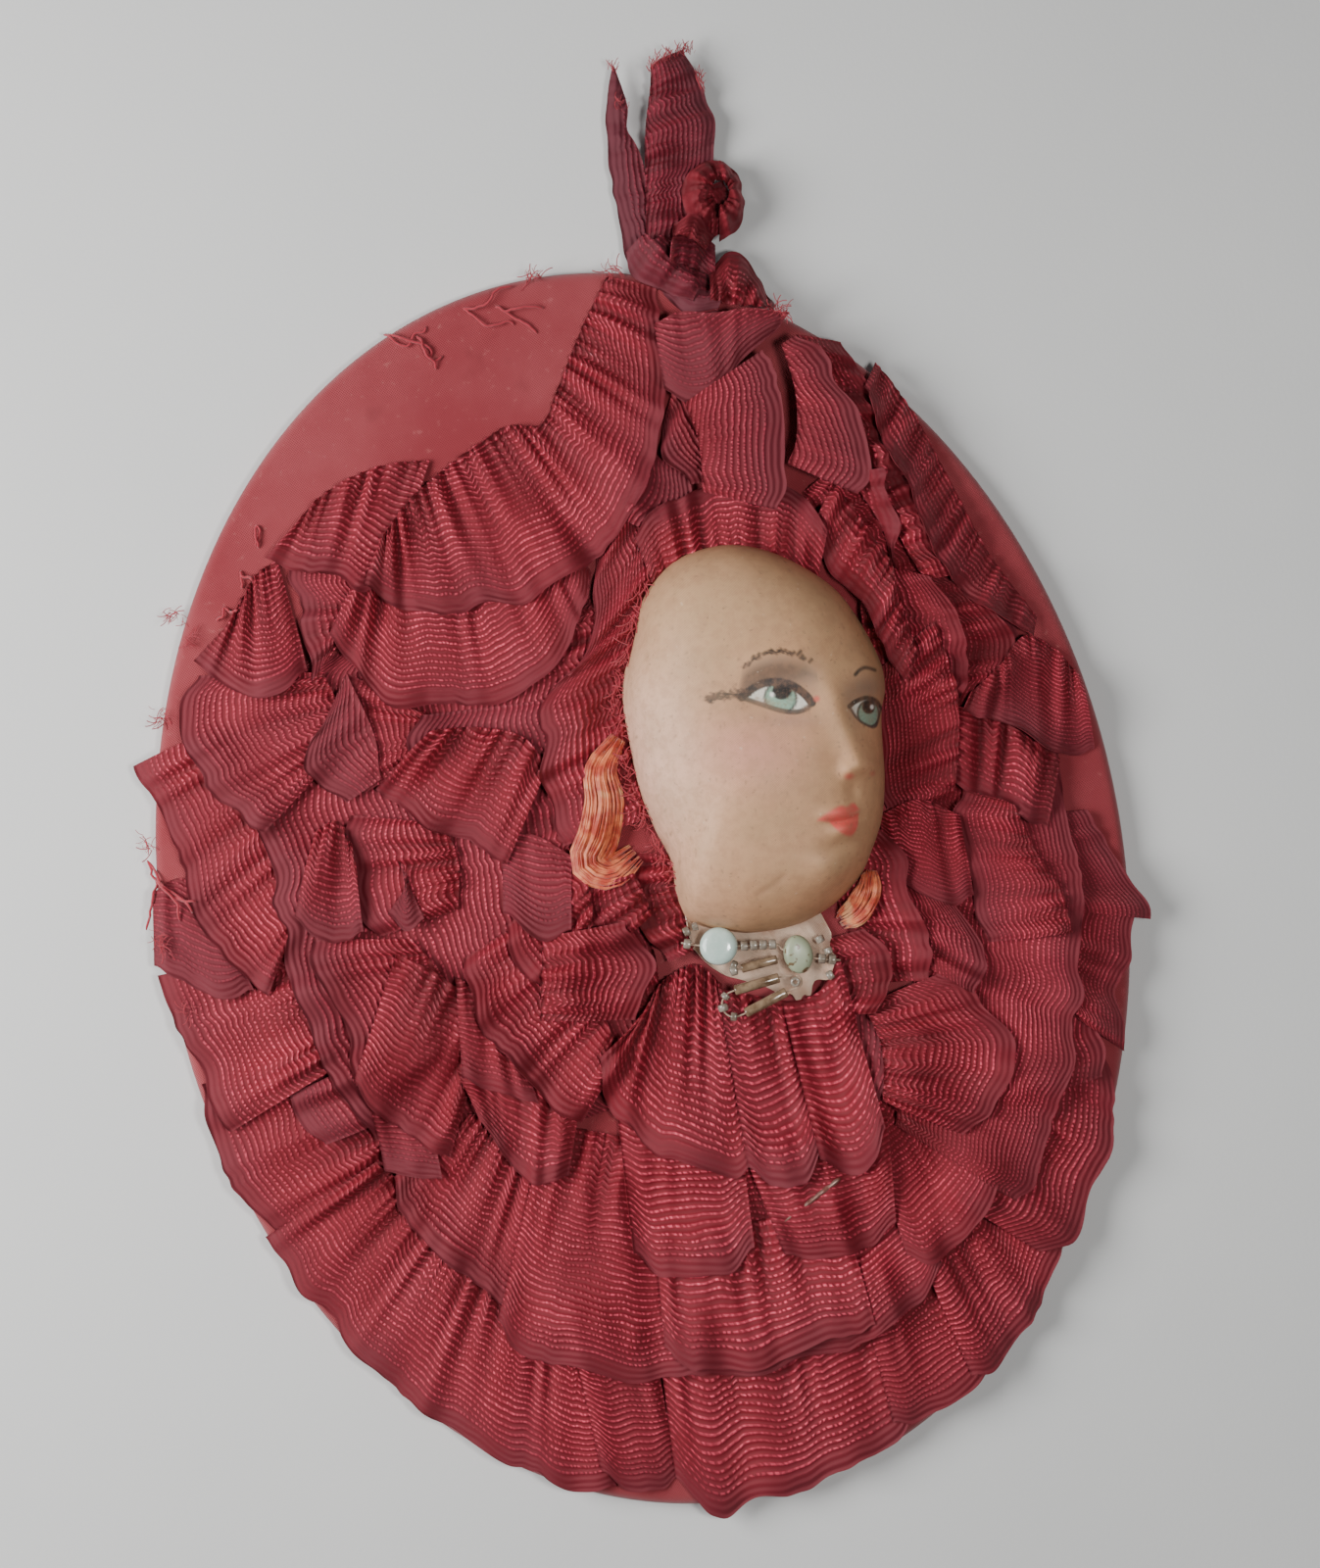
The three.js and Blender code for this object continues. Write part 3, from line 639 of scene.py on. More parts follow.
# The second row, and the lengths that lie flat under it and show only in its gaps.
ribbon_row("frill", "ruffle", {
    "second_frill_left": [
        flap([(4, 64), (-4, 40), (-6, 10), (0, -16), (-6, -44)],
             [(-76, 62), (-78, 40), (-78, 10), (-76, -20), (-62, -54)], 0.4, tuck=0, puff=0.8),
        flap([(-66, 60), (-64, 48), (-66, 36)], [(-90, 64), (-93, 52), (-88, 40), (-79, 26)], 0.3),
    ],
    "second_frill_lower_left": [
        flap([(-54, -44), (-46, -48), (-40, -56), (-32, -62), (-22, -67), (-17, -66)],
             [(-67, -53), (-62, -63), (-52, -75), (-44, -86.5), (-30, -93), (-16, -98)]),
        flap([(-66, -42), (-60, -44), (-54, -48)],
             [(-66, -52), (-60, -52.8), (-54, -55.3)], 0.7, gather=0.5, puff=0.6),
    ],
    "second_frill_bottom": [
        flap([(-30, -46), (0, -56), (30, -56), (50, -46)],
             [(-50, -90), (-20, -104), (20, -106), (48, -96)], 0.15, tuck=0, puff=0.8),
        flap([(-12, -80), (0, -82), (12, -82), (30, -80)],
             [(-14, -102), (-8, -104.5), (10, -105), (24, -103), (32, -104)], 0.1, pitch=1.25),
    ],
    "second_frill_lower_right": [
        flap([(38, -60), (46, -54), (56, -46)], [(42, -94), (56, -86), (69, -68)], 0.05),
    ],
    "second_frill_right": [
        flap([(50, 78), (60, 50), (60, 10), (54, -30), (44, -60)],
             [(70, 88), (86, 54), (94, 10), (88, -40), (70, -84)], 0.15, tuck=0, puff=0.8, pitch=0.8),
        flap([(68, 56), (73, 48), (75, 40), (74, 26)],
             [(80, 56), (85, 47), (88, 38), (84, 26)], 0.0, gather=1.6, tuck=2, pitch=0.8),
        flap([(72, 27), (82, 22), (94, 11)],
             [(69, 10), (76, 6), (81, 2), (87, -6)], 0.0, gather=1.5, tuck=0),
        flap([(77, 28), (84, 32), (91, 37.5), (97, 34), (102, 26)],
             [(75, 25), (80, 21.5), (86, 18), (90, 14), (94, 11), (98, 9.6),
              (102, 9)], 0.3, tuck=1, pitch=0.7),
    ],
    "second_frill_upper_right": [
        flap([(64, 78), (68, 66), (72, 54)], [(71, 80), (76, 67), (82, 54)], 0.1, tuck=0, gather=1.4),
        flap([(55, 112), (59, 104), (62, 96)], [(66, 108), (68, 100), (69, 92)], 0.1, tuck=0),
        flap([(59, 98), (63, 88), (66, 77)], [(68, 96), (71, 87), (72, 77)], 0.0, tuck=0, gather=1.5),
        flap([(71, 103), (77, 90), (82, 74), (87, 58), (95, 42)],
             [(66, 96), (70, 82), (74, 66), (79, 52), (84, 45),
              (93, 37.5)], 0.25, tuck=0, puff=1.4, pitch=0.8),
    ],
    "second_frill_upper_left": [
        flap([(-50, 78), (-54, 70), (-59, 60)], [(-66, 84), (-61.5, 73), (-62.5, 56)], 0.4),
        flap([(-82, 70), (-72, 75), (-64, 78)],
             [(-87.5, 66), (-84, 64), (-79.5, 59.5), (-75, 56), (-70, 55), (-62, 56)], 0.25),
    ],
})

# The third row.
ribbon_row("frill", "ruffle", {
    "third_frill_left": [
        flap([(-47, 24), (-45, 14), (-47, 2)], [(-61, 28), (-61, 14), (-60, 0)], 0.1),
        flap([(-54, 6), (-51, 8), (-49, 9)], [(-56, 4), (-52, 0), (-47, 1)], 0.9, gather=0.4, puff=0.5),
        flap([(-44, 50), (-42, 42), (-43, 36)], [(-57, 60), (-58, 45), (-58, 30.5)]),
        flap([(-58, 52), (-57.5, 42), (-57.5, 31)],
             [(-60, 49), (-66.5, 39.5), (-61, 29.5)], 0.9, gather=0.3, puff=0.4),
    ],
    "third_frill_lower_left": [
        flap([(-58, 0), (-52, -14), (-56, -30)], [(-74, 3), (-70, -12), (-66, -34)], 0.2),
        flap([(-58, -10), (-50, -16), (-44, -26), (-47, -40)],
             [(-70, -32), (-64, -39), (-57, -46), (-53, -52)], 0.1),
        flap([(-70, 19), (-64, 20), (-60, 14)], [(-76, 5), (-70, 1), (-61, -1.5)], 0.35),
        flap([(-45, -37), (-34, -41), (-24, -49)], [(-43, -45), (-37, -55), (-28, -60)], 0.15),
        flap([(-44, -18), (-38, -22), (-32, -32)], [(-46, -36.5), (-38, -38), (-30, -44)], 0.1),
        flap([(-32, -4), (-28, -14), (-20, -26), (-16, -40)],
             [(-42, -8), (-40, -20), (-33, -34), (-23, -48)], 0.05),
    ],
    "third_frill_bottom": [
        flap([(12, -66), (28, -66), (42, -64)], [(16, -86), (30, -86), (40, -84)], 0.1),
    ],
    "third_frill_lower_right": [
        flap([(46, -30), (44, -44), (43, -54)],
             [(50, -33), (50, -44), (46, -54)], 0.8, gather=0.4, puff=0.8),
        flap([(49, -32), (51, -44), (48, -58)],
             [(62, -29), (69, -40), (71, -50), (60, -66)], 0.0, puff=2.6, gather=1.4),
    ],
    "third_frill_right": [
        flap([(66, 58), (64, 45), (68, 30)], [(74, 54), (77, 43), (76, 27)], 0.1, gather=1.4, pitch=0.8),
        flap([(80, 4), (83, -8), (86, -16), (87, -26)],
             [(70, 9), (69, -4), (70, -14), (69, -25)], 0.2, tuck=2, pitch=0.75),
    ],
})

# The innermost row, round the face, and the bib under the neck.
ribbon_row("_ribbon", "", {
    "face_frill_right_ribbon": [
        flap([(56, -8), (59, -20), (62, -32)], [(67, -16), (69, -26), (68, -37)], 0.2, pitch=0.8),
        flap([(72, 45), (74, 28), (70, 8)], [(57, 36), (56, 22), (53, 7)], 0.1, tuck=0, pitch=0.7),
        flap([(53, 6), (62, 8), (70, 3)],
             [(54, -8), (62, -14), (66, -17.5), (70, -18)], 0.1, tuck=0, pitch=0.7),
        flap([(47, 6), (48, -12), (51, -30)], [(55, 4), (57, -12), (58, -31)], 0.0, gather=1.2),
        flap([(60, 80), (65, 68), (66, 58)], [(68, 79), (68, 68), (67, 57)], 0.4, tuck=0, gather=0.5),
        flap([(57, 79), (61, 70), (65, 60), (66, 50), (67, 38)],
             [(49, 68), (53, 60), (57, 52), (59, 44), (62, 32)], 0.0, tuck=0, gather=1.5),
        flap([(38, -18), (42, -26), (40, -35)], [(48, -17), (49, -27), (47, -36)], 0.0, gather=1.5),
    ],
    "bib_left_ribbon": [
        flap([(9, 6), (8, -4), (9, -15)], [(-1, 8), (-2, -4), (1, -17)], 0.0, gather=1.6, tuck=0),
        flap([(-2, 6), (0, 0), (1, -6)], [(-15, 4), (-14, -4), (-10, -12)], 0.1, gather=1.4, tuck=0),
        flap([(-20, 4), (-16, -4), (-17, -20)], [(-33, -4), (-27, -14), (-19.5, -25)], 0.0),
        flap([(-16, -6), (-18, -16), (-20, -25)], [(-3, -6), (-1, -16), (-5, -28)], 0.1),
        flap([(-29, 10), (-22, 9), (-15, 3)], [(-31, -2), (-25, -5), (-17, -8)], 0.9, gather=0.3, puff=0.5),
        flap([(-14, -40), (-6, -48), (4, -52), (11, -54)],
             [(-17, -84), (-8, -84.5), (0, -85.5),
              (9, -86)], 0.1, gather=0.6, puff=0.4, lift=0.2, pitch=1.2),
        flap([(-5, -27), (0, -21), (5, -18.5), (9, -18.5), (13, -23.5)],
             [(-18, -35), (-14, -48), (-6, -57.5), (1, -62),
              (12.5, -68)], 0.05, gather=1.3, tuck=0, pitch=1.3),
    ],
    "bib_pleat_ribbon": [
        flap([(12, -24), (19, -27), (27, -30)],
             [(11, -69), (15, -69.4), (20, -68), (28.5, -67)], 0.15, tuck=0, gather=1.3, pitch=1.3),
    ],
    "bib_right_ribbon": [
        flap([(25, -30), (33, -29), (39, -22)],
             [(26.8, -67.5), (34, -68), (42, -65)], 0.1, tuck=0, gather=0.7, puff=1.2, pitch=1.3),
    ],
    "face_frill_left_ribbon": [
        flap([(-12, 44), (-13, 36), (-16, 28)], [(-44, 46), (-43, 38), (-40, 31)], 0.7, gather=0.5),
        flap([(-44, 38), (-34, 36), (-24, 32), (-19, 24)],
             [(-54, 31), (-44, 23), (-36, 18.5), (-32, 15), (-29, 9)], 0.1),
        flap([(12, 84), (10, 64), (6, 54), (-1, 42), (-3, 28), (-2, 14)],
             [(2, 70), (0, 58), (-5, 50), (-13, 44), (-16, 30), (-17, 12)], 0.05, gather=1.2),
    ],
    "face_frill_top_ribbon": [
        flap([(20, 92), (17, 84), (12, 78)], [(29, 84), (27, 78), (22, 72)], 0.7, gather=0.4),
        flap([(14, 66), (22, 71), (33, 73), (44, 70), (51, 62)],
             [(12, 78), (22, 82), (34, 84), (46, 80), (54, 70)], 0.1),
        flap([(24, 100), (26, 92), (27, 84)], [(22, 96), (21, 90), (25, 84)], 0.4, gather=0.5),
    ],
})

# The two wide lengths over the crown.
ribbon_row("frill", "ribbon", {
    "crown_frill_lower": [
        flap([(-52, 72), (-42, 74), (-30, 74), (-15, 74), (0, 74)],
             [(-58, 64), (-53, 59), (-50, 54.5), (-46, 50), (-40, 47.5), (-30, 45.8), (-22, 46.3),
              (-12, 50), (-6, 55), (-1, 63), (2, 69)], 0.1),
    ],
    "crown_frill": [
        flap([(-28, 100), (-40, 100.5), (-52, 97), (-60, 91)],
             [(-44, 71), (-50, 76.5), (-58, 81), (-67, 85.5)], 0.2, tuck=0),
        flap([(17, 132), (9, 121), (2, 110), (-3, 103), (-10, 104), (-18, 101), (-26, 97), (-34, 92),
              (-42, 84)],
             [(28, 127), (25.5, 114), (24.5, 102), (20, 90), (12, 81), (3, 72), (-10, 66.5), (-27, 66.6),
              (-39, 68), (-47, 74)], 0.1, tuck=0),
    ],
})

# ------------------------------------------------------------
# The mask. Fine cloth pressed over a mould, sized, painted flesh colour, its features put on with a small
# brush, then varnished, which has yellowed. It is filled with wadding and sewn down round its rim.
MASK_RIM = [(30, 70), (20, 68.5), (12, 62), (8, 53), (4.5, 46), (3.2, 40), (3, 30), (3.4, 20), (5, 12),
            (7, 5), (7, -3), (9, -9), (18, -13), (24, -14), (30, -14), (35, -13), (41, -10.5), (47, -6),
            (51, 0), (54, 6), (56, 14), (57, 22), (58, 28), (60, 34), (59.5, 40), (57, 48), (53, 56),
            (46, 63), (38, 68)]
MASK_MIDDLE = np.array([29.0, 28.0])
FEATURES_MIDDLE = np.array([42.0, 30.0])
MASK_BASE, MASK_TOP = (corner[2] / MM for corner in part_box("face_mask"))
MASK_DOME = MASK_TOP - MASK_BASE - 0.6
MASK_CLOTH = 0.8
MASK_RINGS = 120
MASK_SPOKES = 400


def closed_line(corners, count):
    """A smooth closed line through a few corners, as evenly spaced points."""
    corners = np.array(corners, dtype=float)
    round_trip = np.concatenate([corners[-3:], corners, corners[:3]])
    line = smooth_line(round_trip, 60 * len(round_trip))
    away = np.linalg.norm(line - corners[0], axis=1)
    half = len(line) // 2
    loop = line[np.argmin(away[:half]):half + np.argmin(away[half:])]
    return loop[np.linspace(0, len(loop), count, endpoint=False).astype(int)]


def rim_reach(middle, directions):
    """How far the mask's rim is from a point inside it, along each direction in radians."""
    loop = closed_line(MASK_RIM, 900) - middle
    angle = np.arctan2(loop[:, 1], loop[:, 0])
    order = np.argsort(angle)
    return np.interp(directions, angle[order], np.hypot(*loop.T)[order], period=2 * math.pi)


def hill(x, y, middle, radius_x, radius_y, turn=0.0):
    """A round hill, 1 high at its middle."""
    cos, sin = math.cos(math.radians(turn)), math.sin(math.radians(turn))
    dx, dy = x - middle[0], y - middle[1]
    u, v = cos * dx + sin * dy, -sin * dx + cos * dy
    return np.exp(-((u / radius_x) ** 2) - (v / radius_y) ** 2)


def from_line(x, y, corners):
    """Distance of each point from a smooth line."""
    line = smooth_line(corners, 40)
    best = np.full(x.shape, 1e9)
    for a, b in zip(line[:-1], line[1:]):
        step = b - a
        share = np.clip(((x - a[0]) * step[0] + (y - a[1]) * step[1]) / (step @ step), 0, 1)
        best = np.minimum(best, np.hypot(x - a[0] - share * step[0], y - a[1] - share * step[1]))
    return best


# Each hill or hollow of the face: its height, its middle, its two radii and its turn.
BROWS = [(0.9, (37, 43), 9, 3.5), (0.7, (55, 38), 4, 3)]
EYES = [(-1.9, (36, 35.5), 7.5, 4.5, -12), (1.3, (36.3, 35), 4.6, 3.0, -12), (-1.5, (54, 29.5), 4.6, 4.2),
        (1.0, (54, 28.7), 3.2, 2.8)]
NOSE_TIP = [(1.5, (50.3, 17.8), 2.6, 2.3), (1.2, (47.2, 17), 1.7, 1.7), (1.0, (53.2, 17), 1.6, 1.8),
            (-0.9, (47.6, 12.6), 1.4, 2.2)]
MOUTH = [(1.5, (44.5, 8.6), 4.0, 1.4, -6), (1.6, (44.8, 4.9), 3.0, 1.5), (-0.8, (44, 6.8), 3.6, 0.6, -4),
         (-1.0, (42.5, 1.6), 4.5, 1.6)]
CHIN_AND_CHEEK = [(2.2, (40.5, -3), 6.0, 4.4), (1.5, (28, 19), 10, 11)]


def mask_height(x, y):
    """The moulded face: a dome with its brow, eye sockets, nose, lips and chin."""
    offset = np.stack([x, y]) - MASK_MIDDLE.reshape(2, *([1] * x.ndim))
    share = np.hypot(*offset) / rim_reach(MASK_MIDDLE, np.arctan2(offset[1], offset[0]))
    dome = MASK_DOME * np.sqrt(np.clip(1 - np.clip(share, 0, 1) ** 3.3, 0, 1))
    forms = BROWS + EYES + NOSE_TIP + MOUTH + CHIN_AND_CHEEK
    relief = sum(height * hill(x, y, *form) for height, *form in forms)
    ridge = from_line(x, y, [(46.5, 36), (48, 30), (49.6, 23), (50.6, 17.5)])
    along_nose = np.clip((37 - y) / 18, 0, 1)
    nose_foot = 1 / (1 + np.exp((15.5 - y) / 0.9))
    relief = relief + (0.5 + 2.0 * along_nose) * np.exp(-((ridge / 3.1) ** 2)) * nose_foot
    relief = relief - 0.2 * from_rim_fold(x, y)
    edge = np.clip((1 - share) / 0.12, 0, 1)
    return MASK_BASE + dome + relief * edge


def from_rim_fold(x, y):
    """A faint crease where the cloth was pinched at the jaw."""
    return np.exp(-((from_line(x, y, [(24, -5), (27, -4), (30, -2.3)]) / 0.7) ** 2))


def brush(share, colour, new):
    """Lay one colour over another, by the share of each point that it covers."""
    return colour * (1 - share[..., None]) + np.array(new, dtype=float) * share[..., None]


def inside(x, y, middle, radius_x, radius_y, turn=0.0, soft=0.18):
    """1 inside an ellipse and 0 outside it, over a soft edge."""
    cos, sin = math.cos(math.radians(turn)), math.sin(math.radians(turn))
    dx, dy = x - middle[0], y - middle[1]
    u, v = cos * dx + sin * dy, -sin * dx + cos * dy
    gap = (np.sqrt((u / radius_x) ** 2 + (v / radius_y) ** 2) - 1) * min(radius_x, radius_y)
    return np.clip(0.5 - gap / (2 * soft), 0, 1)


def line_share(x, y, corners, width, soft=0.15):
    return np.clip(0.5 - (from_line(x, y, corners) - width / 2) / (2 * soft), 0, 1)


def between(x, y, upper, lower, soft=0.2):
    """1 between an upper and a lower line that share their ends."""
    top, bottom = smooth_line(upper, 60), smooth_line(lower, 60)
    order_top, order_bottom = np.argsort(top[:, 0]), np.argsort(bottom[:, 0])
    ceiling = np.interp(x, top[order_top, 0], top[order_top, 1], left=-99, right=-99)
    ground = np.interp(x, bottom[order_bottom, 0], bottom[order_bottom, 1], left=99, right=99)
    return np.clip(0.5 + np.minimum(ceiling - y, y - ground) / (2 * soft), 0, 1)


def paint_eye(colour, x, y, upper, lower, iris, pupil, glint, line_width):
    """White, iris, pupil and glint inside the lids, then the dark lines of the lids."""
    opening = between(x, y, upper, lower)
    colour = brush(opening, colour, (232, 228, 214))
    ring = inside(x, y, iris[0], iris[1] + 0.4, iris[2] + 0.4, iris[3]) * opening
    colour = brush(ring, colour, (58, 66, 62))
    disc = inside(x, y, *iris) * opening
    colour = brush(disc, colour, (146, 178, 156))
    spokes = 0.5 + 0.5 * np.sin(14 * np.arctan2(y - iris[0][1], x - iris[0][0]))
    colour = brush(disc * spokes * 0.25, colour, (96, 130, 112))
    colour = brush(inside(x, y, pupil[0], pupil[1], pupil[2]) * opening, colour, (36, 32, 32))
    colour = brush(inside(x, y, glint, 0.5, 0.55), colour, (244, 244, 236))
    colour = brush(line_share(x, y, upper, line_width), colour, (52, 44, 42))
    return brush(line_share(x, y, lower, line_width * 0.6) * 0.85, colour, (70, 60, 56))


# Soft shades on the flesh colour: how strong, the middle, the two radii, the turn and the colour. The
# first, pale pink down the left side, is painted light.
WASHES = [(0.75, (5, 24), 12, 32, 0, (250, 206, 186)), (0.5, (25, 58), 22, 14, 0, (194, 160, 124)),
          (0.6, (28, 25), 11, 8, -10, (214, 142, 130)), (0.3, (30, 2), 14, 10, 0, (184, 148, 120))]
EYE_SHADES = [(0.45, (43, 37), 2.6, 4.5, -20, (140, 112, 96)),
              (0.72, (54.6, 33.4), 4.6, 2.7, 0, (126, 102, 90)),
              (0.45, (50.4, 30.5), 1.6, 4.0, 0, (150, 120, 102)),
              (0.5, (37, 29.5), 6, 1.5, -10, (168, 128, 112))]
# The red dots at the eye's corner and the nostrils: how strong, the middle, the two radii and the softness.
DOTS = [(0.9, (43.4, 33.0), 0.65, 0.6, 0.3, (214, 92, 78)),
        (0.8, (47.2, 15.8), 0.9, 0.6, 0.4, (206, 92, 80)),
        (0.6, (52.6, 15.4), 0.6, 0.5, 0.4, (190, 96, 82))]


def lash(x, y, foot, tip, width, soft):
    return line_share(x, y, [foot, (foot + tip) / 2, tip], width, soft)


def paint_mask(x, y):
    """The painted face as a colour for each point, on the 0 to 255 scale."""
    random = np.random.default_rng(11)
    colour = np.ones(x.shape + (3,)) * np.array([206.0, 156.0, 116.0])
    for share, *form, new in WASHES:
        colour = brush(share * hill(x, y, *form), colour, new)
    shadow = between(x, y, [(27.5, 36.5), (30, 41.5), (36, 43), (41.5, 41), (44.5, 37.5)],
                     [(27.5, 36.5), (33, 37.5), (38, 36.5), (44.5, 37.5)], 1.6)
    colour = brush(0.85 * shadow, colour, (104, 82, 68))
    for share, *form, new in EYE_SHADES:
        colour = brush(share * hill(x, y, *form), colour, new)

    colour = paint_eye(colour, x, y,
                       [(28, 36.2), (31.5, 37.9), (35, 38.2), (38.6, 36.9), (41, 34.6), (42.3, 32.4)],
                       [(28, 36.2), (32, 33.9), (35.5, 32.0), (38.5, 31.1), (41, 31.4), (42.3, 32.4)],
                       ((36.0, 34.6), 3.1, 3.0, -15), ((36.6, 36.0), 2.1, 1.8), (34.4, 35.6), 1.7)
    colour = paint_eye(colour, x, y,
                       [(50, 30.2), (51.6, 31.0), (54, 31.4), (56.2, 30.6), (57.6, 28.8)],
                       [(50, 30.2), (51.2, 27.6), (53, 25.9), (55.4, 25.2), (57.6, 28.8)],
                       ((54.2, 28.0), 2.4, 2.5, -10), ((54.4, 29.4), 1.5, 1.4), (55.2, 29.3), 0.9)
    corner_line = line_share(x, y, [(20.5, 37.2), (24, 36.9), (28.5, 36.4)], 0.5, 0.35)
    colour = brush(corner_line * 0.55, colour, (78, 62, 54))
    for _ in range(60):
        foot = np.array([random.uniform(21, 30), 36.6 + random.uniform(-0.5, 0.9)])
        tip = foot + np.array([random.uniform(-1.6, 0.6), random.uniform(0.3, 1.2)])
        colour = brush(lash(x, y, foot, tip, 0.3, 0.14) * 0.75, colour, (60, 48, 44))
    for share in np.linspace(0, 1, 17):
        arc = smooth_line([(29.8, 42.4), (33, 43.8), (36.2, 44.1), (40, 43.1), (43.4, 40.8)], 50)
        foot = arc[int(share * 49)] + random.uniform(-0.25, 0.25, 2)
        tip = foot + np.array([random.uniform(0.3, 0.9), random.uniform(0.1, 0.8)])
        colour = brush(lash(x, y, foot, tip, 0.62, 0.18) * 0.9, colour, (52, 42, 38))
    brow = [(52.6, 36.6), (53.8, 37.4), (55.3, 37.7), (57.4, 36.9)]
    colour = brush(line_share(x, y, brow, 0.7, 0.22) * 0.9, colour, (54, 44, 40))
    for share, middle, radius_x, radius_y, soft, new in DOTS:
        colour = brush(inside(x, y, middle, radius_x, radius_y, 0, soft) * share, colour, new)
    upper_lip = between(x, y, [(38.8, 8), (42, 9.4), (44.2, 10), (45.6, 9.6), (47.2, 10), (48.3, 8.4)],
                        [(38.8, 8), (43, 7), (48.3, 8.4)], 0.35)
    lower_lip = between(x, y, [(41, 7.6), (44, 7.8), (48, 8)],
                        [(41, 7.6), (43, 4.8), (45.4, 3.4), (47.2, 5), (48, 8)], 0.35)
    colour = brush(np.maximum(upper_lip, lower_lip) * 0.95, colour, (236, 88, 84))
    parting = line_share(x, y, [(40.8, 7.9), (44, 7.0), (48, 7.8)], 0.3, 0.25)
    colour = brush(parting * 0.5, colour, (176, 72, 66))
    # Painted shade along the crease at the jaw.
    colour = brush(0.3 * from_rim_fold(x, y), colour, (150, 112, 88))

    wear = np.zeros(x.shape)
    for _ in range(260):
        spot = random.uniform([2, -12], [57, 68])
        radii = random.uniform(0.1, 0.32, 2)
        wear = np.maximum(wear, inside(x, y, spot, *radii, random.uniform(0, 90), 0.15))
    return brush(0.45 * wear, colour, (128, 98, 76))


def painted_cloth():
    """Matt-varnished paint over fine cloth; the colour comes from the point attribute "paint"."""
    material, tree, shader = new_material("painted_cloth", Roughness=0.58, Coat_Weight=0.05,
                                          Coat_Roughness=0.4)
    colour = add_node(tree, "ShaderNodeAttribute", attribute_name="paint").outputs["Color"]
    colour = patches(tree, colour, rgb(156, 132, 98), 0.34, (70.0, 5.0, 0.65), 0.35, 0.72)
    colour = patches(tree, colour, rgb(168, 122, 92), 0.3, (420.0, 4.0, 0.7), 0.4, 0.65)
    colour = patches(tree, colour, rgb(110, 82, 62), 0.4, (1100.0,), 0.66, 0.76)
    colour = patches(tree, colour, rgb(226, 206, 180), 0.35, (800.0,), 0.7, 0.8)
    tree.links.new(colour, shader.inputs["Base Color"])
    unevenness = noise(tree, object_place(tree), 350.0, 4.0)
    relief = maths(tree, "MULTIPLY_ADD", weave(tree, 0.00042), 0.18, unevenness)
    tree.links.new(bump(tree, relief, 0.00012, 0.7), shader.inputs["Normal"])
    return material


def make_mask():
    """Rings from a point between the eyes out to the rim, then the inside of the cloth."""
    turn = np.linspace(-math.pi, math.pi, MASK_SPOKES, endpoint=False)
    reach = rim_reach(FEATURES_MIDDLE, turn)
    even = np.linspace(0, 0.93, MASK_RINGS - 24)[1:]
    shares = np.concatenate([even, 1 - 0.07 * (1 - np.linspace(0, 1, 25)[1:]) ** 1.8])

    def ring(share, under):
        x = FEATURES_MIDDLE[0] + share * reach * np.cos(turn)
        y = FEATURES_MIDDLE[1] + share * reach * np.sin(turn)
        return np.stack([x, y, np.maximum(mask_height(x, y) - under, MASK_BASE)], axis=1)

    inner_depth = 1.5 * MASK_CLOTH
    outside = [ring(share, 0.0) for share in shares]
    outside[-1][:, 2] = MASK_BASE
    rings = outside + [ring(share, inner_depth) for share in np.linspace(0.965, 0.06, 14)]
    centre = mask_height(FEATURES_MIDDLE[:1], FEATURES_MIDDLE[1:])[0]
    poles = [[*FEATURES_MIDDLE, centre], [*FEATURES_MIDDLE, centre - inner_depth]]
    points = np.concatenate(rings + [poles])
    faces = grid_faces(len(rings), MASK_SPOKES, closed_columns=True)
    last, top = (len(rings) - 1) * MASK_SPOKES, len(rings) * MASK_SPOKES
    for k in range(MASK_SPOKES):
        after = (k + 1) % MASK_SPOKES
        faces += [(top, k, after), (top + 1, last + after, last + k)]
    piece = make_piece("painted_mask", points, faces, [painted_cloth()])
    face_outward(piece)
    painted = (paint_mask(points[:, 0], points[:, 1]) / 255) ** 2.2
    set_attribute(piece, "paint", painted)
    return piece


mask = make_mask()
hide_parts("face_mask")


def wadding():
    material, tree, shader = new_material("cotton_wadding", Roughness=1.0)
    fluff = noise(tree, object_place(tree), 240.0, 6.0, 0.75)
    colour = blend_colour(tree, fluff, rgb(206, 196, 176), rgb(232, 226, 212))
    tree.links.new(colour, shader.inputs["Base Color"])
    tree.links.new(bump(tree, fluff, 0.0008, 0.8), shader.inputs["Normal"])
    return material


def make_wadding():
    """The wadding fills the mask, a little clear of its cloth."""
    turn = np.linspace(-math.pi, math.pi, 120, endpoint=False)
    reach = rim_reach(FEATURES_MIDDLE, turn) - 2 * MASK_CLOTH
    rings = []
    for share in np.linspace(0.05, 1, 16):
        x = FEATURES_MIDDLE[0] + share * reach * np.cos(turn)
        y = FEATURES_MIDDLE[1] + share * reach * np.sin(turn)
        height = np.maximum(mask_height(x, y) - 3.5 * MASK_CLOTH, MASK_BASE + 0.4)
        rings.append(np.stack([x, y, height], axis=1))
    floor = rings[-1].copy()
    floor[:, 2] = MASK_BASE + 0.2
    points = np.concatenate(rings + [floor])
    faces = grid_faces(len(rings) + 1, 120, closed_columns=True)
    faces += [tuple(range(120)), tuple(range(len(rings) * 120, len(rings) * 120 + 120))]
    piece = make_piece("mask_wadding", points, faces, [wadding()])
    face_outward(piece)
    return piece


stuffing = make_wadding()
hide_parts("face_wadding")

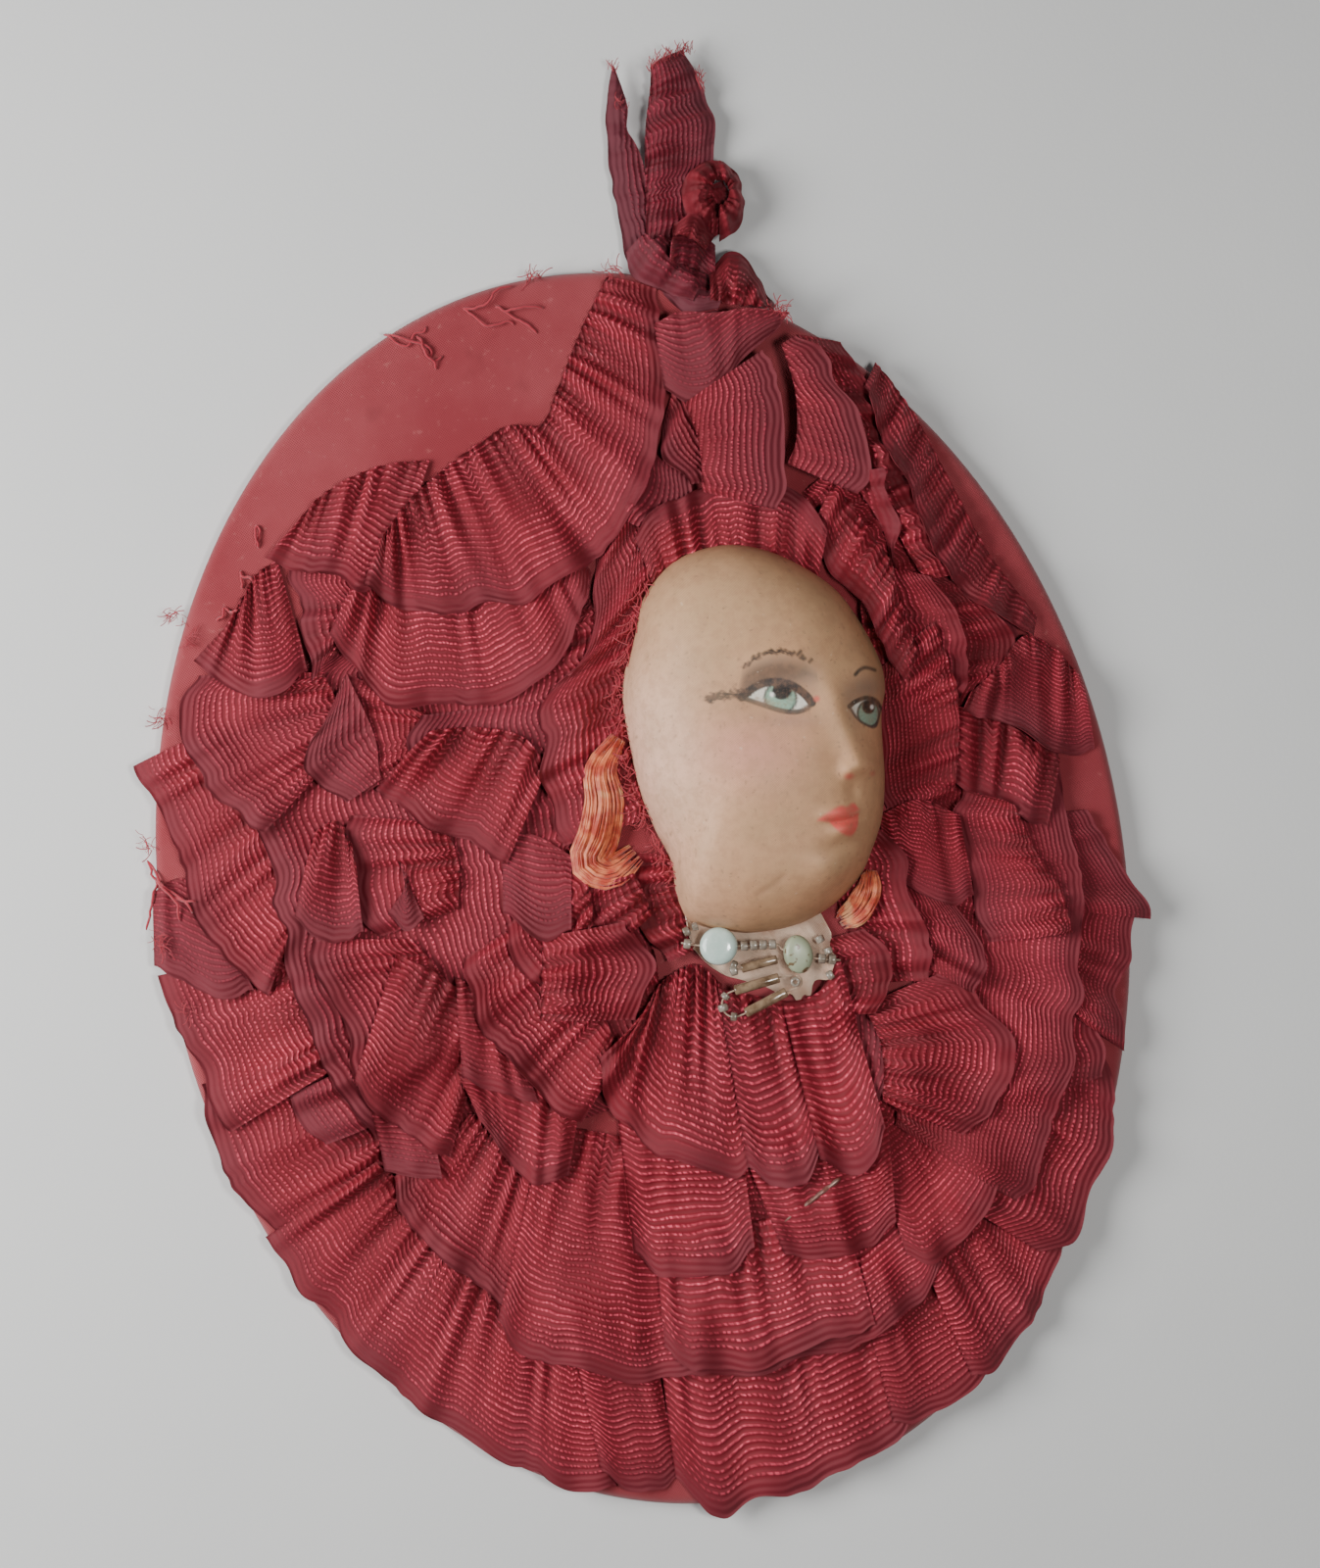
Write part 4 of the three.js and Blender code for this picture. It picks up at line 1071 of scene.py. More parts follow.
# ------------------------------------------------------------
# Neck, hair and bow. Fine flesh-coloured cloth under the chin, with a torn lower edge; tufts of orange
# satin yarn at each side of the jaw; and a bow of ribbon, one folded band and two cut tails, sewn over
# the forehead.
def flesh_cloth():
    material, tree, shader = new_material("flesh_cloth", Roughness=0.85, Sheen_Weight=0.2)
    soiled = patches(tree, rgb(214, 186, 164), rgb(188, 150, 126), 1.0, (160.0, 4.0, 0.65), 0.4, 0.75)
    tree.links.new(soiled, shader.inputs["Base Color"])
    tree.links.new(bump(tree, weave(tree, 0.0004), 0.00012, 0.6), shader.inputs["Normal"])
    return material


neck = lay_flap([(8, -2), (14, -7), (21, -10), (29, -11), (36, -9)],
                [(8.3, -17.5), (13, -21.6), (17.5, -23), (22, -25), (25.6, -28.4), (27.2, -28),
                 (28.6, -30.6), (30.2, -29.6), (31.6, -30.2), (33, -27.5), (36.4, -26.2), (38.4, -17)],
                5, dull=0.0, gather=0.3, puff=0.8, lift=0.1, curl=0.2, tuck=0)
cloth_piece("neck_cloth_piece", [neck], "neck_cloth", material=flesh_cloth())


def join_shapes(shapes):
    """Several (points, faces) as one."""
    points, faces, start = [], [], 0
    for shape_points, shape_faces in shapes:
        points.append(np.asarray(shape_points, dtype=float))
        faces += [tuple(start + k for k in face) for face in shape_faces]
        start += len(shape_points)
    return np.concatenate(points), faces


def strand(path, radius, sides=5, tip=0.35):
    """A thread along a path of [x, y, z] points, closed at both ends and thinner there."""
    path = np.asarray(path, dtype=float)
    way = np.gradient(path, axis=0)
    way /= np.linalg.norm(way, axis=1, keepdims=True)
    aside = np.cross(way, [0.13, 0.07, 1.0])
    aside /= np.linalg.norm(aside, axis=1, keepdims=True)
    up = np.cross(aside, way)
    ends = np.minimum(1, tip + np.minimum(np.arange(len(path)), np.arange(len(path))[::-1]) * 0.4)
    turn = 2 * math.pi * np.arange(sides) / sides
    rings = [path + radius * ends[:, None] * (math.cos(t) * aside + math.sin(t) * up) for t in turn]
    points = np.stack(rings, axis=1).reshape(-1, 3)
    faces = grid_faces(len(path), sides, closed_columns=True)
    faces += [tuple(reversed(range(sides))), tuple(range(len(points) - sides, len(points)))]
    return points, faces


def satin_yarn():
    material, tree, shader = new_material("satin_yarn", Roughness=0.38, Sheen_Weight=0.4, Anisotropic=0.5)
    colour = patches(tree, rgb(176, 60, 40), rgb(226, 128, 84), 1.0, (420.0, 3.0), 0.35, 0.7)
    colour = patches(tree, colour, rgb(240, 196, 140), 0.5, (150.0,), 0.6, 0.7)
    tree.links.new(colour, shader.inputs["Base Color"])
    return material


SATIN_YARN = satin_yarn()


def yarn_tuft(name, node, spine, half_width, strands, seed):
    """Satin yarn laid side by side along a curved spine, on the pile."""
    random = np.random.default_rng(seed)
    line = smooth_line(spine, 22)
    way = np.gradient(line, axis=0)
    aside = np.stack([-way[:, 1], way[:, 0]], axis=1) / np.linalg.norm(way, axis=1, keepdims=True)
    shapes = []
    for _ in range(strands):
        shift = random.uniform(-1, 1)
        level = math.sqrt(1 - shift**2)
        start, end = random.integers(0, 3), 22 - random.integers(0, 4)
        sway = 0.35 * np.sin(np.linspace(0, random.uniform(3, 7), 22) + random.uniform(0, 6))
        plan = line + aside * (half_width * shift * np.sin(np.linspace(0.35, 2.6, 22)) + sway)[:, None]
        bed = soften(pile_at(plan[:, 0], plan[:, 1])[None, :, None], 6)[0, :, 0]
        height = bed + 0.4 + random.uniform(0.2, 1.0) * 2.6 * level * np.sin(np.linspace(0.5, 2.7, 22))
        shapes.append(strand(np.c_[plan, height][start:end], 0.26))
    piece = make_piece(name, *join_shapes(shapes), [SATIN_YARN])
    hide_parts(node)


yarn_tuft("yarn_tuft_left", "hair_left",
          [(1, 33), (-4, 27), (-4.5, 20), (-7, 13), (-10, 8), (-6, 5), (0, 8)], 4.2, 90, 3)
yarn_tuft("yarn_tuft_right", "hair_right", [(49, -5), (47.5, -9.5), (44.5, -13), (40.5, -15)], 3.0, 60, 4)

BOW_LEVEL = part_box("bow_tail_left")[0][2] / MM
band = lay_flap([(25, 119), (31, 120.5), (38, 119), (46, 118.5), (54, 116)],
                [(24.5, 103.5), (28, 101.6), (31.5, 100.6), (35, 101.4), (42, 107), (50, 112)],
                21, dull=0.92, gather=0.3, puff=2.2, lift=0.5, curl=1.4, tuck=0, least=BOW_LEVEL - 1.5)
left_tail = lay_flap([(28.3, 101), (29.6, 93), (29.2, 86), (28.4, 81.5)],
                     [(50.2, 110.5), (48.6, 98), (46.4, 87), (45, 74)],
                     22, dull=0.5, gather=0.35, puff=1.5, lift=0.4, curl=0.3, tuck=0, least=BOW_LEVEL)
right_tail = lay_flap([(51, 109.5), (52, 99), (50.4, 89), (47.5, 84)],
                      [(56, 111.5), (60.5, 103), (64, 91), (64.5, 80), (62.3, 74)],
                      23, dull=0.5, gather=0.35, puff=1.0, lift=0.4, curl=0.3, tuck=0, least=BOW_LEVEL)
cloth_piece("bow_tail_left_ribbon", [left_tail], "bow_tail_left", body="left_bow_tail")
cloth_piece("bow_tail_right_ribbon", [right_tail], "bow_tail_right", body="right_bow_tail")
cloth_piece("bow_band_ribbon", [band], "bow_band")

# ------------------------------------------------------------
# The hanging ribbon: the same red ribbon knotted through the top edge. Two torn tails and a curled loop
# stand up from the knot and fold over the edge, and a puffed loop lies beside it.
# A darker red for the knot and tails, with a weaker painted glint on their floats.
TIE_RIBBON = ribbon_cloth("tie_ribbon", rgb(112, 22, 40), rgb(206, 66, 92), rgb(100, 38, 50), 0.4, 0.55)
thin_tail = lay_flap([(29.5, 132.6), (30, 147), (29, 158), (27.4, 163), (28.4, 168), (27.2, 177)],
                     [(22.4, 132.6), (21, 145), (21.4, 157), (23.8, 167), (26.4, 177.6)], 35,
                     dull=0.8, gather=0.4, puff=0.8, lift=0.3, curl=0.4, tuck=0, crumple=0.3)
wide_tail = lay_flap([(26, 132.6), (28.6, 148), (31, 161), (34, 171), (35, 175.5)],
                     [(40, 132.6), (42.5, 146), (46, 158), (44.4, 168), (44.6, 178.5)], 36,
                     dull=0.3, gather=1.0, puff=1.6, lift=0.3, curl=0.8, tuck=0, crumple=1.1, pitch=0.8)
knot_folds = [
    lay_flap([(30, 138), (34, 134), (38, 130), (42, 125)],
             [(23.5, 133), (27, 127), (32, 122), (38.5, 118.5)], 31,
             dull=0.5, gather=0.6, puff=3.2, lift=0.2, curl=2.0, tuck=0, crumple=0.6),
    lay_flap([(27, 139), (31, 132), (37, 126)], [(20.8, 136), (24, 130), (33, 121.5)], 32,
             dull=0.35, gather=0.8, puff=1.8, lift=0.2, curl=1.8, tuck=0, crumple=0.6),
    lay_flap([(31, 131), (35, 130), (40, 127)], [(33, 138.5), (37, 139), (41.5, 134.5)], 33,
             dull=0.0, gather=1.2, puff=2.2, lift=0.2, curl=1.5, tuck=0, crumple=0.6),
]
side_folds = [
    lay_flap([(38, 122), (43, 120.5), (47.5, 119), (50.5, 117)],
             [(39, 129), (43.5, 131.5), (48.5, 129), (52.5, 119.5)], 34,
             dull=0.15, gather=1.6, puff=3.0, lift=0.2, curl=2.2, tuck=0, crumple=0.7),
]
curl = [
    lay_flap([(40.5, 136), (41, 141), (42, 147)], [(46.5, 137.5), (47.6, 143), (47, 148.6)], 39,
             dull=0.2, gather=1.0, puff=0.8, lift=0.2, curl=0.4, tuck=0, crumple=0.6),
    lay_flap([(43, 142.5), (42.6, 145.5), (44, 147.6), (46, 147), (46.4, 144.5), (45, 142.6), (43.6, 142)],
             [(39.5, 136.5), (37, 143), (38.6, 149.5), (44, 153), (49.8, 150), (49.6, 143), (47, 138),
              (42.5, 135)], 37, dull=0.1, gather=1.3, puff=2.6, lift=0.2, curl=1.8, tuck=0, crumple=0.8),
    lay_flap([(32.5, 137), (36, 135.4), (39, 133)], [(33.5, 141), (38.6, 141.5), (42.6, 137)], 38,
             dull=0.1, gather=1.2, puff=1.8, lift=0.2, curl=1.4, tuck=0, crumple=0.5),
]
for name, laid, node, cloth in (("tail_thin_ribbon", [thin_tail], "tail_thin", TIE_RIBBON),
                                ("tail_wide_ribbon", [wide_tail], "tail_wide", TIE_RIBBON),
                                ("tail_curl_ribbon", curl, "tail_curl", RED_RIBBON)):
    tail = cloth_piece(name, laid, node, body=None, material=cloth)
    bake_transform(tail)
cloth_piece("knot_ribbon", knot_folds, "knot", material=TIE_RIBBON)
cloth_piece("knot_side_loop_ribbon", side_folds, "knot_side_loop")

# ------------------------------------------------------------
# Beads. Two pressed glass tablets, milky pale green, joined by clear seed beads on a cotton thread that is
# sewn down at each side of the neck; a lower strand with a tube bead; and a drop of two brown-lined tube
# beads on its own loop.
def bead_glass(name, first, second, clear, roughness):
    """Pressed glass, streaked inside; clear is how much light goes through it."""
    material, tree, shader = new_material(name, Roughness=roughness, IOR=1.5, Transmission_Weight=clear,
                                          Coat_Weight=0.35, Coat_Roughness=0.05)
    swirl = patches(tree, first, second, 1.0, (380.0, 3.0, 0.6), 0.35, 0.7)
    tree.links.new(swirl, shader.inputs["Base Color"])
    pitted = noise(tree, object_place(tree), 900.0)
    tree.links.new(bump(tree, pitted, 0.00004, 0.4), shader.inputs["Normal"])
    return material


def speckled_glass():
    """Pale green-grey glass with brown flecks."""
    material, tree, shader = new_material("speckled_glass", Roughness=0.45, Coat_Weight=0.25,
                                          Coat_Roughness=0.2)
    cloud = noise(tree, object_place(tree), 300.0, 3.0)
    colour = blend_colour(tree, cloud, rgb(128, 138, 112), rgb(172, 178, 150))
    colour = patches(tree, colour, rgb(104, 84, 60), 1.0, (700.0,), 0.58, 0.68)
    tree.links.new(colour, shader.inputs["Base Color"])
    tree.links.new(bump(tree, cloud, 0.0001, 0.4), shader.inputs["Normal"])
    return material


# Each glass with the name of its slot.
CLEAR_GLASS = (bead_glass("clear_glass", rgb(196, 186, 172), rgb(150, 136, 120), 0.55, 0.08), "clear_glass")
BROWN_GLASS = (bead_glass("brown_lined_glass", rgb(168, 142, 116), rgb(112, 88, 68), 0.35, 0.1),
               "brown_glass")
MILKY_GLASS = (bead_glass("milky_glass", rgb(184, 206, 196), rgb(206, 222, 214), 0.05, 0.16), "aqua_glass")
SPECKLED_GLASS = (speckled_glass(), "aqua_glass")
SEED = (1.1, 1.6, 0.5)


def turned(middle, axis, profile, steps):
    """A closed profile of [distance from the axis, place along it], turned round an axis."""
    axis = np.asarray(axis, dtype=float) / np.linalg.norm(axis)
    up = np.array([0.0, 0.0, 1.0]) if abs(axis[2]) < 0.9 else np.array([0.0, 1.0, 0.0])
    aside = np.cross(axis, up)
    aside /= np.linalg.norm(aside)
    up = np.cross(aside, axis)
    rings = []
    for k in range(steps):
        t = 2 * math.pi * k / steps
        spoke = math.cos(t) * aside + math.sin(t) * up
        rings.append([np.asarray(middle) + r * spoke + along * axis for r, along in profile])
    points = np.array(rings).reshape(-1, 3)
    return points, grid_faces(steps, len(profile), closed_rows=True, closed_columns=True)


def bead(middle, axis, radius, length, hole, steps=20):
    """A ring bead: a tube of glass with rounded ends."""
    half = length / 2
    soft = min(radius - hole, half) * 0.55
    shoulder = [(radius - soft * (1 - math.sin(turn)), half - soft * (1 - math.cos(turn)))
                for turn in (0.0, 0.5, 1.05, 1.57)]
    profile = [(hole, -half + soft * 0.5), (hole, half - soft * 0.5), (hole + 0.15, half), *shoulder]
    profile += [(out, -along) for out, along in reversed(shoulder)] + [(hole + 0.15, -half)]
    return turned(middle, axis, profile, steps)


def tablet(middle, radius_x, radius_y, thick, lean=(0.0, 0.0, 1.0)):
    """A round pressed tablet with domed faces and a soft edge."""
    profile = [(0.0, thick / 2)]
    for turn in np.linspace(0, math.pi, 15)[1:-1]:
        out = math.sin(turn) ** 0.55
        profile.append((out, thick / 2 * math.copysign(abs(math.cos(turn)) ** 0.75, math.cos(turn))))
    profile.append((0.0, -thick / 2))
    steps = 40
    axis = np.asarray(lean, dtype=float) / np.linalg.norm(lean)
    aside = np.cross([0.0, 1.0, 0.0], axis)
    aside /= np.linalg.norm(aside)
    up = np.cross(axis, aside)
    points = [np.asarray(middle) + profile[0][1] * axis]
    for r, along in profile[1:-1]:
        for k in range(steps):
            t = 2 * math.pi * k / steps
            spoke = radius_x * math.cos(t) * aside + radius_y * math.sin(t) * up
            points.append(np.asarray(middle) + r * spoke + along * axis)
    points.append(np.asarray(middle) + profile[-1][1] * axis)
    rings = len(profile) - 2
    faces = grid_faces(rings, steps, start=1, closed_columns=True)
    low, under = 1 + (rings - 1) * steps, len(points) - 1
    for k in range(steps):
        after = (k + 1) % steps
        faces += [(0, 1 + after, 1 + k), (under, low + k, low + after)]
    return np.array(points), faces


def glass_piece(name, node, shapes, glass, body="plaque"):
    material, slot = glass
    piece = make_piece(name, *join_shapes(shapes), [material], body)
    face_outward(piece)
    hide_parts(node)


STRAND_LEVEL = (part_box("necklace_thread")[0][2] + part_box("necklace_thread")[1][2]) / 2 / MM
LOWER_LEVEL = STRAND_LEVEL - 0.7


def on_strand(start, end, share, level):
    """A point between two [x, y] points, and the way from one to the other."""
    start, end = np.array([*start, level]), np.array([*end, level])
    return start + share * (end - start), end - start


def seeds(start, end, shares, level, size=SEED):
    made = []
    for share in shares:
        middle, way = on_strand(start, end, share, level)
        made.append(bead(middle, way, *size))
    return made


glass_piece("tablet_left", "flat_bead_left",
            [tablet((13.8, -15, STRAND_LEVEL), 4.1, 4.1, 3.6, (-0.05, 0.06, 1))], MILKY_GLASS)
glass_piece("tablet_right", "flat_bead_right",
            [tablet((30.3, -19.9, STRAND_LEVEL), 3.15, 4.2, 3.4, (0.1, -0.05, 1))], SPECKLED_GLASS)
left_end = seeds((6, -12.8), (9, -13.9), [0.42], STRAND_LEVEL)
left_end += [bead((7.6, -10.6, STRAND_LEVEL), (1, 0.3, 0), 1.0, 1.5, 0.4),
             bead((9.6, -9.9, STRAND_LEVEL), (1, 0.1, 0), 0.9, 1.3, 0.4),
             bead((16.3, -19.6, STRAND_LEVEL - 0.4), (1, -0.6, 0), 0.95, 1.4, 0.4)]
glass_piece("seed_left_end", "bead_left_end", left_end, CLEAR_GLASS)
for number, share in enumerate((0.13, 0.38, 0.63, 0.88), 1):
    middle_seed = seeds((18.2, -15.8), (26.2, -16.9), [share], STRAND_LEVEL)
    glass_piece(f"seed_middle_{number}", f"bead_middle_{number}", middle_seed, CLEAR_GLASS)
right_cluster = [bead((35.5, -17.6, STRAND_LEVEL - 0.3), (0.3, -1, 0), 1.0, 1.5, 0.4),
                 bead((36.8, -20.4, STRAND_LEVEL), (0.1, -1, 0.1), 0.95, 1.4, 0.4),
                 bead((36.2, -25.6, STRAND_LEVEL - 0.3), (1, 0.4, 0), 1.0, 1.5, 0.4)]
right_end = seeds((33.7, -21.4), (39, -22.8), [0.28, 0.68], STRAND_LEVEL)
glass_piece("seed_right_1", "bead_right_1", right_end[:1] + right_cluster[:1], CLEAR_GLASS)
glass_piece("seed_right_2", "bead_right_2", right_end[1:] + right_cluster[1:], CLEAR_GLASS)
LOWER_STRAND = ((14.6, -20.9), (26.4, -20.1))
glass_piece("seed_lower", "bead_lower", seeds(*LOWER_STRAND, [0.12], LOWER_LEVEL), CLEAR_GLASS)
middle, way = on_strand(*LOWER_STRAND, 0.6, LOWER_LEVEL)
glass_piece("lower_tube", "amber_bugle", [bead(middle, way, 1.0, 8.0, 0.5, 16)], BROWN_GLASS)

post = bead((28.6, -25.6, STRAND_LEVEL), (0, 0, 1), 1.1, 1.8, 0.45)
glass_piece("drop_post_seed", "drop_post", [post], CLEAR_GLASS)
for name, node, start, end in (("drop_tube_upper", "drop_bugle_upper", (25.9, -24), (14.8, -25.1)),
                               ("drop_tube_lower", "drop_bugle_lower", (16.2, -30.4), (26.9, -27.2))):
    middle, way = on_strand(start, end, 0.5, STRAND_LEVEL)
    glass_piece(name, node, [bead(middle, way, 1.1, 10.0, 0.5, 16)], BROWN_GLASS, "bead_drop")
drop_seeds = seeds((12.2, -27.2), (12.4, -29.2), [0.5], STRAND_LEVEL)
drop_seeds += [bead((13.2, -25.9, STRAND_LEVEL), (-1, -0.8, 0), 0.95, 1.3, 0.4),
               bead((14.2, -30.5, STRAND_LEVEL), (1, -0.3, 0), 0.95, 1.4, 0.4)]
glass_piece("drop_seeds", "drop_bead", drop_seeds, CLEAR_GLASS, "bead_drop")


def cotton_thread(name, colour, light):
    """Two-ply sewing thread."""
    material, tree, shader = new_material(name, Roughness=0.75, Sheen_Weight=0.3)
    place = object_place(tree)
    ply = noise(tree, place, 1400.0, 2.0)
    tree.links.new(blend_colour(tree, ply, colour, light), shader.inputs["Base Color"])
    tree.links.new(bump(tree, ply, 0.0001, 0.6), shader.inputs["Normal"])
    return material


PALE_THREAD = cotton_thread("strand_thread", rgb(150, 120, 100), rgb(190, 166, 142))
RED_THREAD = cotton_thread("red_thread", rgb(128, 20, 33), rgb(190, 56, 72))


def thread_piece(name, node, path, level, radius, body="plaque"):
    line = smooth_line([(*point, level) for point in path], 60)
    piece = make_piece(name, *strand(line, radius, 6, 0.8), [PALE_THREAD], body)
    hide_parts(node)


thread_piece("strand_thread_upper", "necklace_thread",
             [(6, -12.8), (9.5, -14), (18.2, -15.8), (22.2, -16.3), (26.2, -16.9), (27.4, -18.4),
              (33.7, -21.4), (39, -22.8)], STRAND_LEVEL, 0.2)
thread_piece("strand_thread_lower", "lower_thread", [LOWER_STRAND[0], (20.5, -20.5), LOWER_STRAND[1]],
             LOWER_LEVEL, 0.2)
thread_piece("drop_loop_thread", "drop_thread",
             [(28.4, -24.2), (25.9, -24), (20.3, -24.55), (14.8, -25.1), (13.2, -25.8), (12.2, -27.2),
              (12.4, -29.2), (13.9, -30.5), (16.2, -30.4), (21.5, -28.8), (26.9, -27.2), (28.9, -26.95),
              (29.9, -26.2), (29.9, -24.9), (28.9, -24.25)], STRAND_LEVEL, 0.18, "bead_drop")

# ------------------------------------------------------------
# The pin: thin dulled steel, tapered to a point, pushed under the bib's hem.
def dull_steel():
    material, tree, shader = new_material("dull_steel", Metallic=0.6, Roughness=0.5)
    rust = ramp(tree, noise(tree, object_place(tree), 500.0, 4.0), 0.4, 0.65)
    colour = blend_colour(tree, rust, rgb(150, 118, 108), rgb(120, 70, 62))
    tree.links.new(colour, shader.inputs["Base Color"])
    tree.links.new(ramp(tree, rust, 0.0, 1.0, 0.35, 0.8), shader.inputs["Roughness"])
    return material


PIN_HEAD, PIN_TIP = np.array([30.3, -69.0, 10.9]), np.array([14.3, -77.1, 11.93])
PIN_STEPS, PIN_SIDES = 24, 12
pin_share = np.linspace(0, 1, PIN_STEPS)
pin_path = PIN_HEAD + pin_share[:, None] * (PIN_TIP - PIN_HEAD)
pin_points, pin_faces = strand(pin_path, 0.6, PIN_SIDES, 0.5)
taper = np.repeat(np.interp(pin_share, [0, 0.1, 0.5, 1], [0.75, 1.0, 0.8, 0.12]), PIN_SIDES)[:, None]
pin_points = np.repeat(pin_path, PIN_SIDES, axis=0) * (1 - taper) + pin_points * taper
pin = make_piece("dulled_pin", pin_points, pin_faces, [dull_steel()], "pin")
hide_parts("loose_pin")

# ------------------------------------------------------------
# Sewing threads and ravelled edges. Loose doubled stitches of red cotton on the bare cover, and short
# thread ends where the cut edges have come apart: round the mask, at the card's edge and on the tails.
def loose_end(start, way, length, random):
    """A loose thread that wanders off from its start, lying just over the pile."""
    steps = 14
    heading = math.atan2(way[1], way[0])
    points = [np.array(start, dtype=float)]
    for _ in range(steps):
        heading += random.normal(0, 0.34)
        points.append(points[-1] + length / steps * np.array([math.cos(heading), math.sin(heading)]))
    plan = np.array(points)
    rise = 0.35 + 1.3 * np.sin(np.linspace(0, math.pi, steps + 1)) * random.uniform(0.1, 1.0)
    height = np.maximum(pile_at(plan[:, 0], plan[:, 1]), 0.6) + rise
    return np.c_[plan, height]


STITCH_RADIUS = 0.3
STITCHES = [((-33, 129), (1, -0.3), 13), ((-26, 127), (0.7, -0.8), 9), ((-15, 131), (0.7, -0.9), 13),
            ((-8, 130), (1, -0.5), 11), ((-68, 93), (0.4, -1), 5), ((-73, 84), (-0.5, -1), 4),
            ((-78, 77), (0.3, -1), 4), ((-105, 26), (0.1, -1), 16), ((-104, 22), (0.3, -1), 12)]
stitch_random = np.random.default_rng(29)
stitches = [loose_end(*stitch, stitch_random) for stitch in STITCHES for _ in range(2)]
shapes = [strand(smooth_line(path, 24), STITCH_RADIUS, 5, 0.5) for path in stitches]
make_piece("loose_stitches", *join_shapes(shapes), [RED_THREAD])


def ravelled_edge_tree():
    """Thread ends set along a line of points, each bent, turned and cut to its own length."""
    tree = bpy.data.node_groups.new("ravelled_edge", "GeometryNodeTree")
    for label, kind in (("Line", "Geometry"), ("Spacing", "Float"), ("Length", "Float"),
                        ("Thickness", "Float"), ("Scatter", "Vector"), ("Turn From", "Float"),
                        ("Turn To", "Float"), ("Seed", "Int")):
        tree.interface.new_socket(label, in_out="INPUT", socket_type="NodeSocket" + kind)
    tree.interface.new_socket("Threads", in_out="OUTPUT", socket_type="NodeSocketGeometry")
    given = add_node(tree, "NodeGroupInput").outputs
    bend = {"Resolution": 7, "Start": (0, 0, 0), "Middle": (0.55, 0.22, 0.16), "End": (1, -0.05, 0.05)}
    middle = add_node(tree, "GeometryNodeCurveQuadraticBezier", bend).outputs[0]
    size = add_node(tree, "ShaderNodeCombineXYZ", {axis: given["Length"] for axis in range(3)}).outputs[0]
    thread_line = add_node(tree, "GeometryNodeTransform", {"Geometry": middle, "Scale": size}).outputs[0]
    ring = {"Resolution": 5, "Radius": given["Thickness"]}
    profile = add_node(tree, "GeometryNodeCurvePrimitiveCircle", ring, mode="RADIUS").outputs[0]
    solid = {"Curve": thread_line, "Profile Curve": profile, "Fill Caps": True}
    thread_end = add_node(tree, "GeometryNodeCurveToMesh", solid).outputs[0]
    line = add_node(tree, "GeometryNodeMeshToCurve", {0: given["Line"]}).outputs[0]
    places = {"Curve": line, "Length": given["Spacing"]}
    points = add_node(tree, "GeometryNodeCurveToPoints", places, mode="LENGTH").outputs[0]
    mirror = {0: given["Scatter"], 1: (-1, -1, 0)}
    back = add_node(tree, "ShaderNodeVectorMath", mirror, operation="MULTIPLY").outputs[0]
    aside = {0: back, 1: given["Scatter"], "Seed": given["Seed"]}
    scatter = add_node(tree, "FunctionNodeRandomValue", aside, data_type="FLOAT_VECTOR").outputs[0]
    points = add_node(tree, "GeometryNodeSetPosition", {"Geometry": points, "Offset": scatter}).outputs[0]
    least = add_node(tree, "ShaderNodeCombineXYZ", {0: -0.5, 1: -0.5, 2: given["Turn From"]}).outputs[0]
    most = add_node(tree, "ShaderNodeCombineXYZ", {0: 0.5, 1: 0.1, 2: given["Turn To"]}).outputs[0]
    turns = {0: least, 1: most, "Seed": given["Seed"]}
    turn = add_node(tree, "FunctionNodeRandomValue", turns, data_type="FLOAT_VECTOR").outputs[0]
    shares = {2: 0.4, 3: 1.3, "Seed": given["Seed"]}
    lengths = add_node(tree, "FunctionNodeRandomValue", shares, data_type="FLOAT").outputs[1]
    set_out = {"Points": points, "Instance": thread_end, "Rotation": turn, "Scale": lengths}
    threads = add_node(tree, "GeometryNodeInstanceOnPoints", set_out).outputs[0]
    threads = add_node(tree, "GeometryNodeRealizeInstances", {"Geometry": threads}).outputs[0]
    cotton = {"Geometry": threads, "Material": RED_THREAD}
    threads = add_node(tree, "GeometryNodeSetMaterial", cotton).outputs[0]
    add_node(tree, "NodeGroupOutput", {0: threads})
    return tree


RAVELLED_EDGE = ravelled_edge_tree()


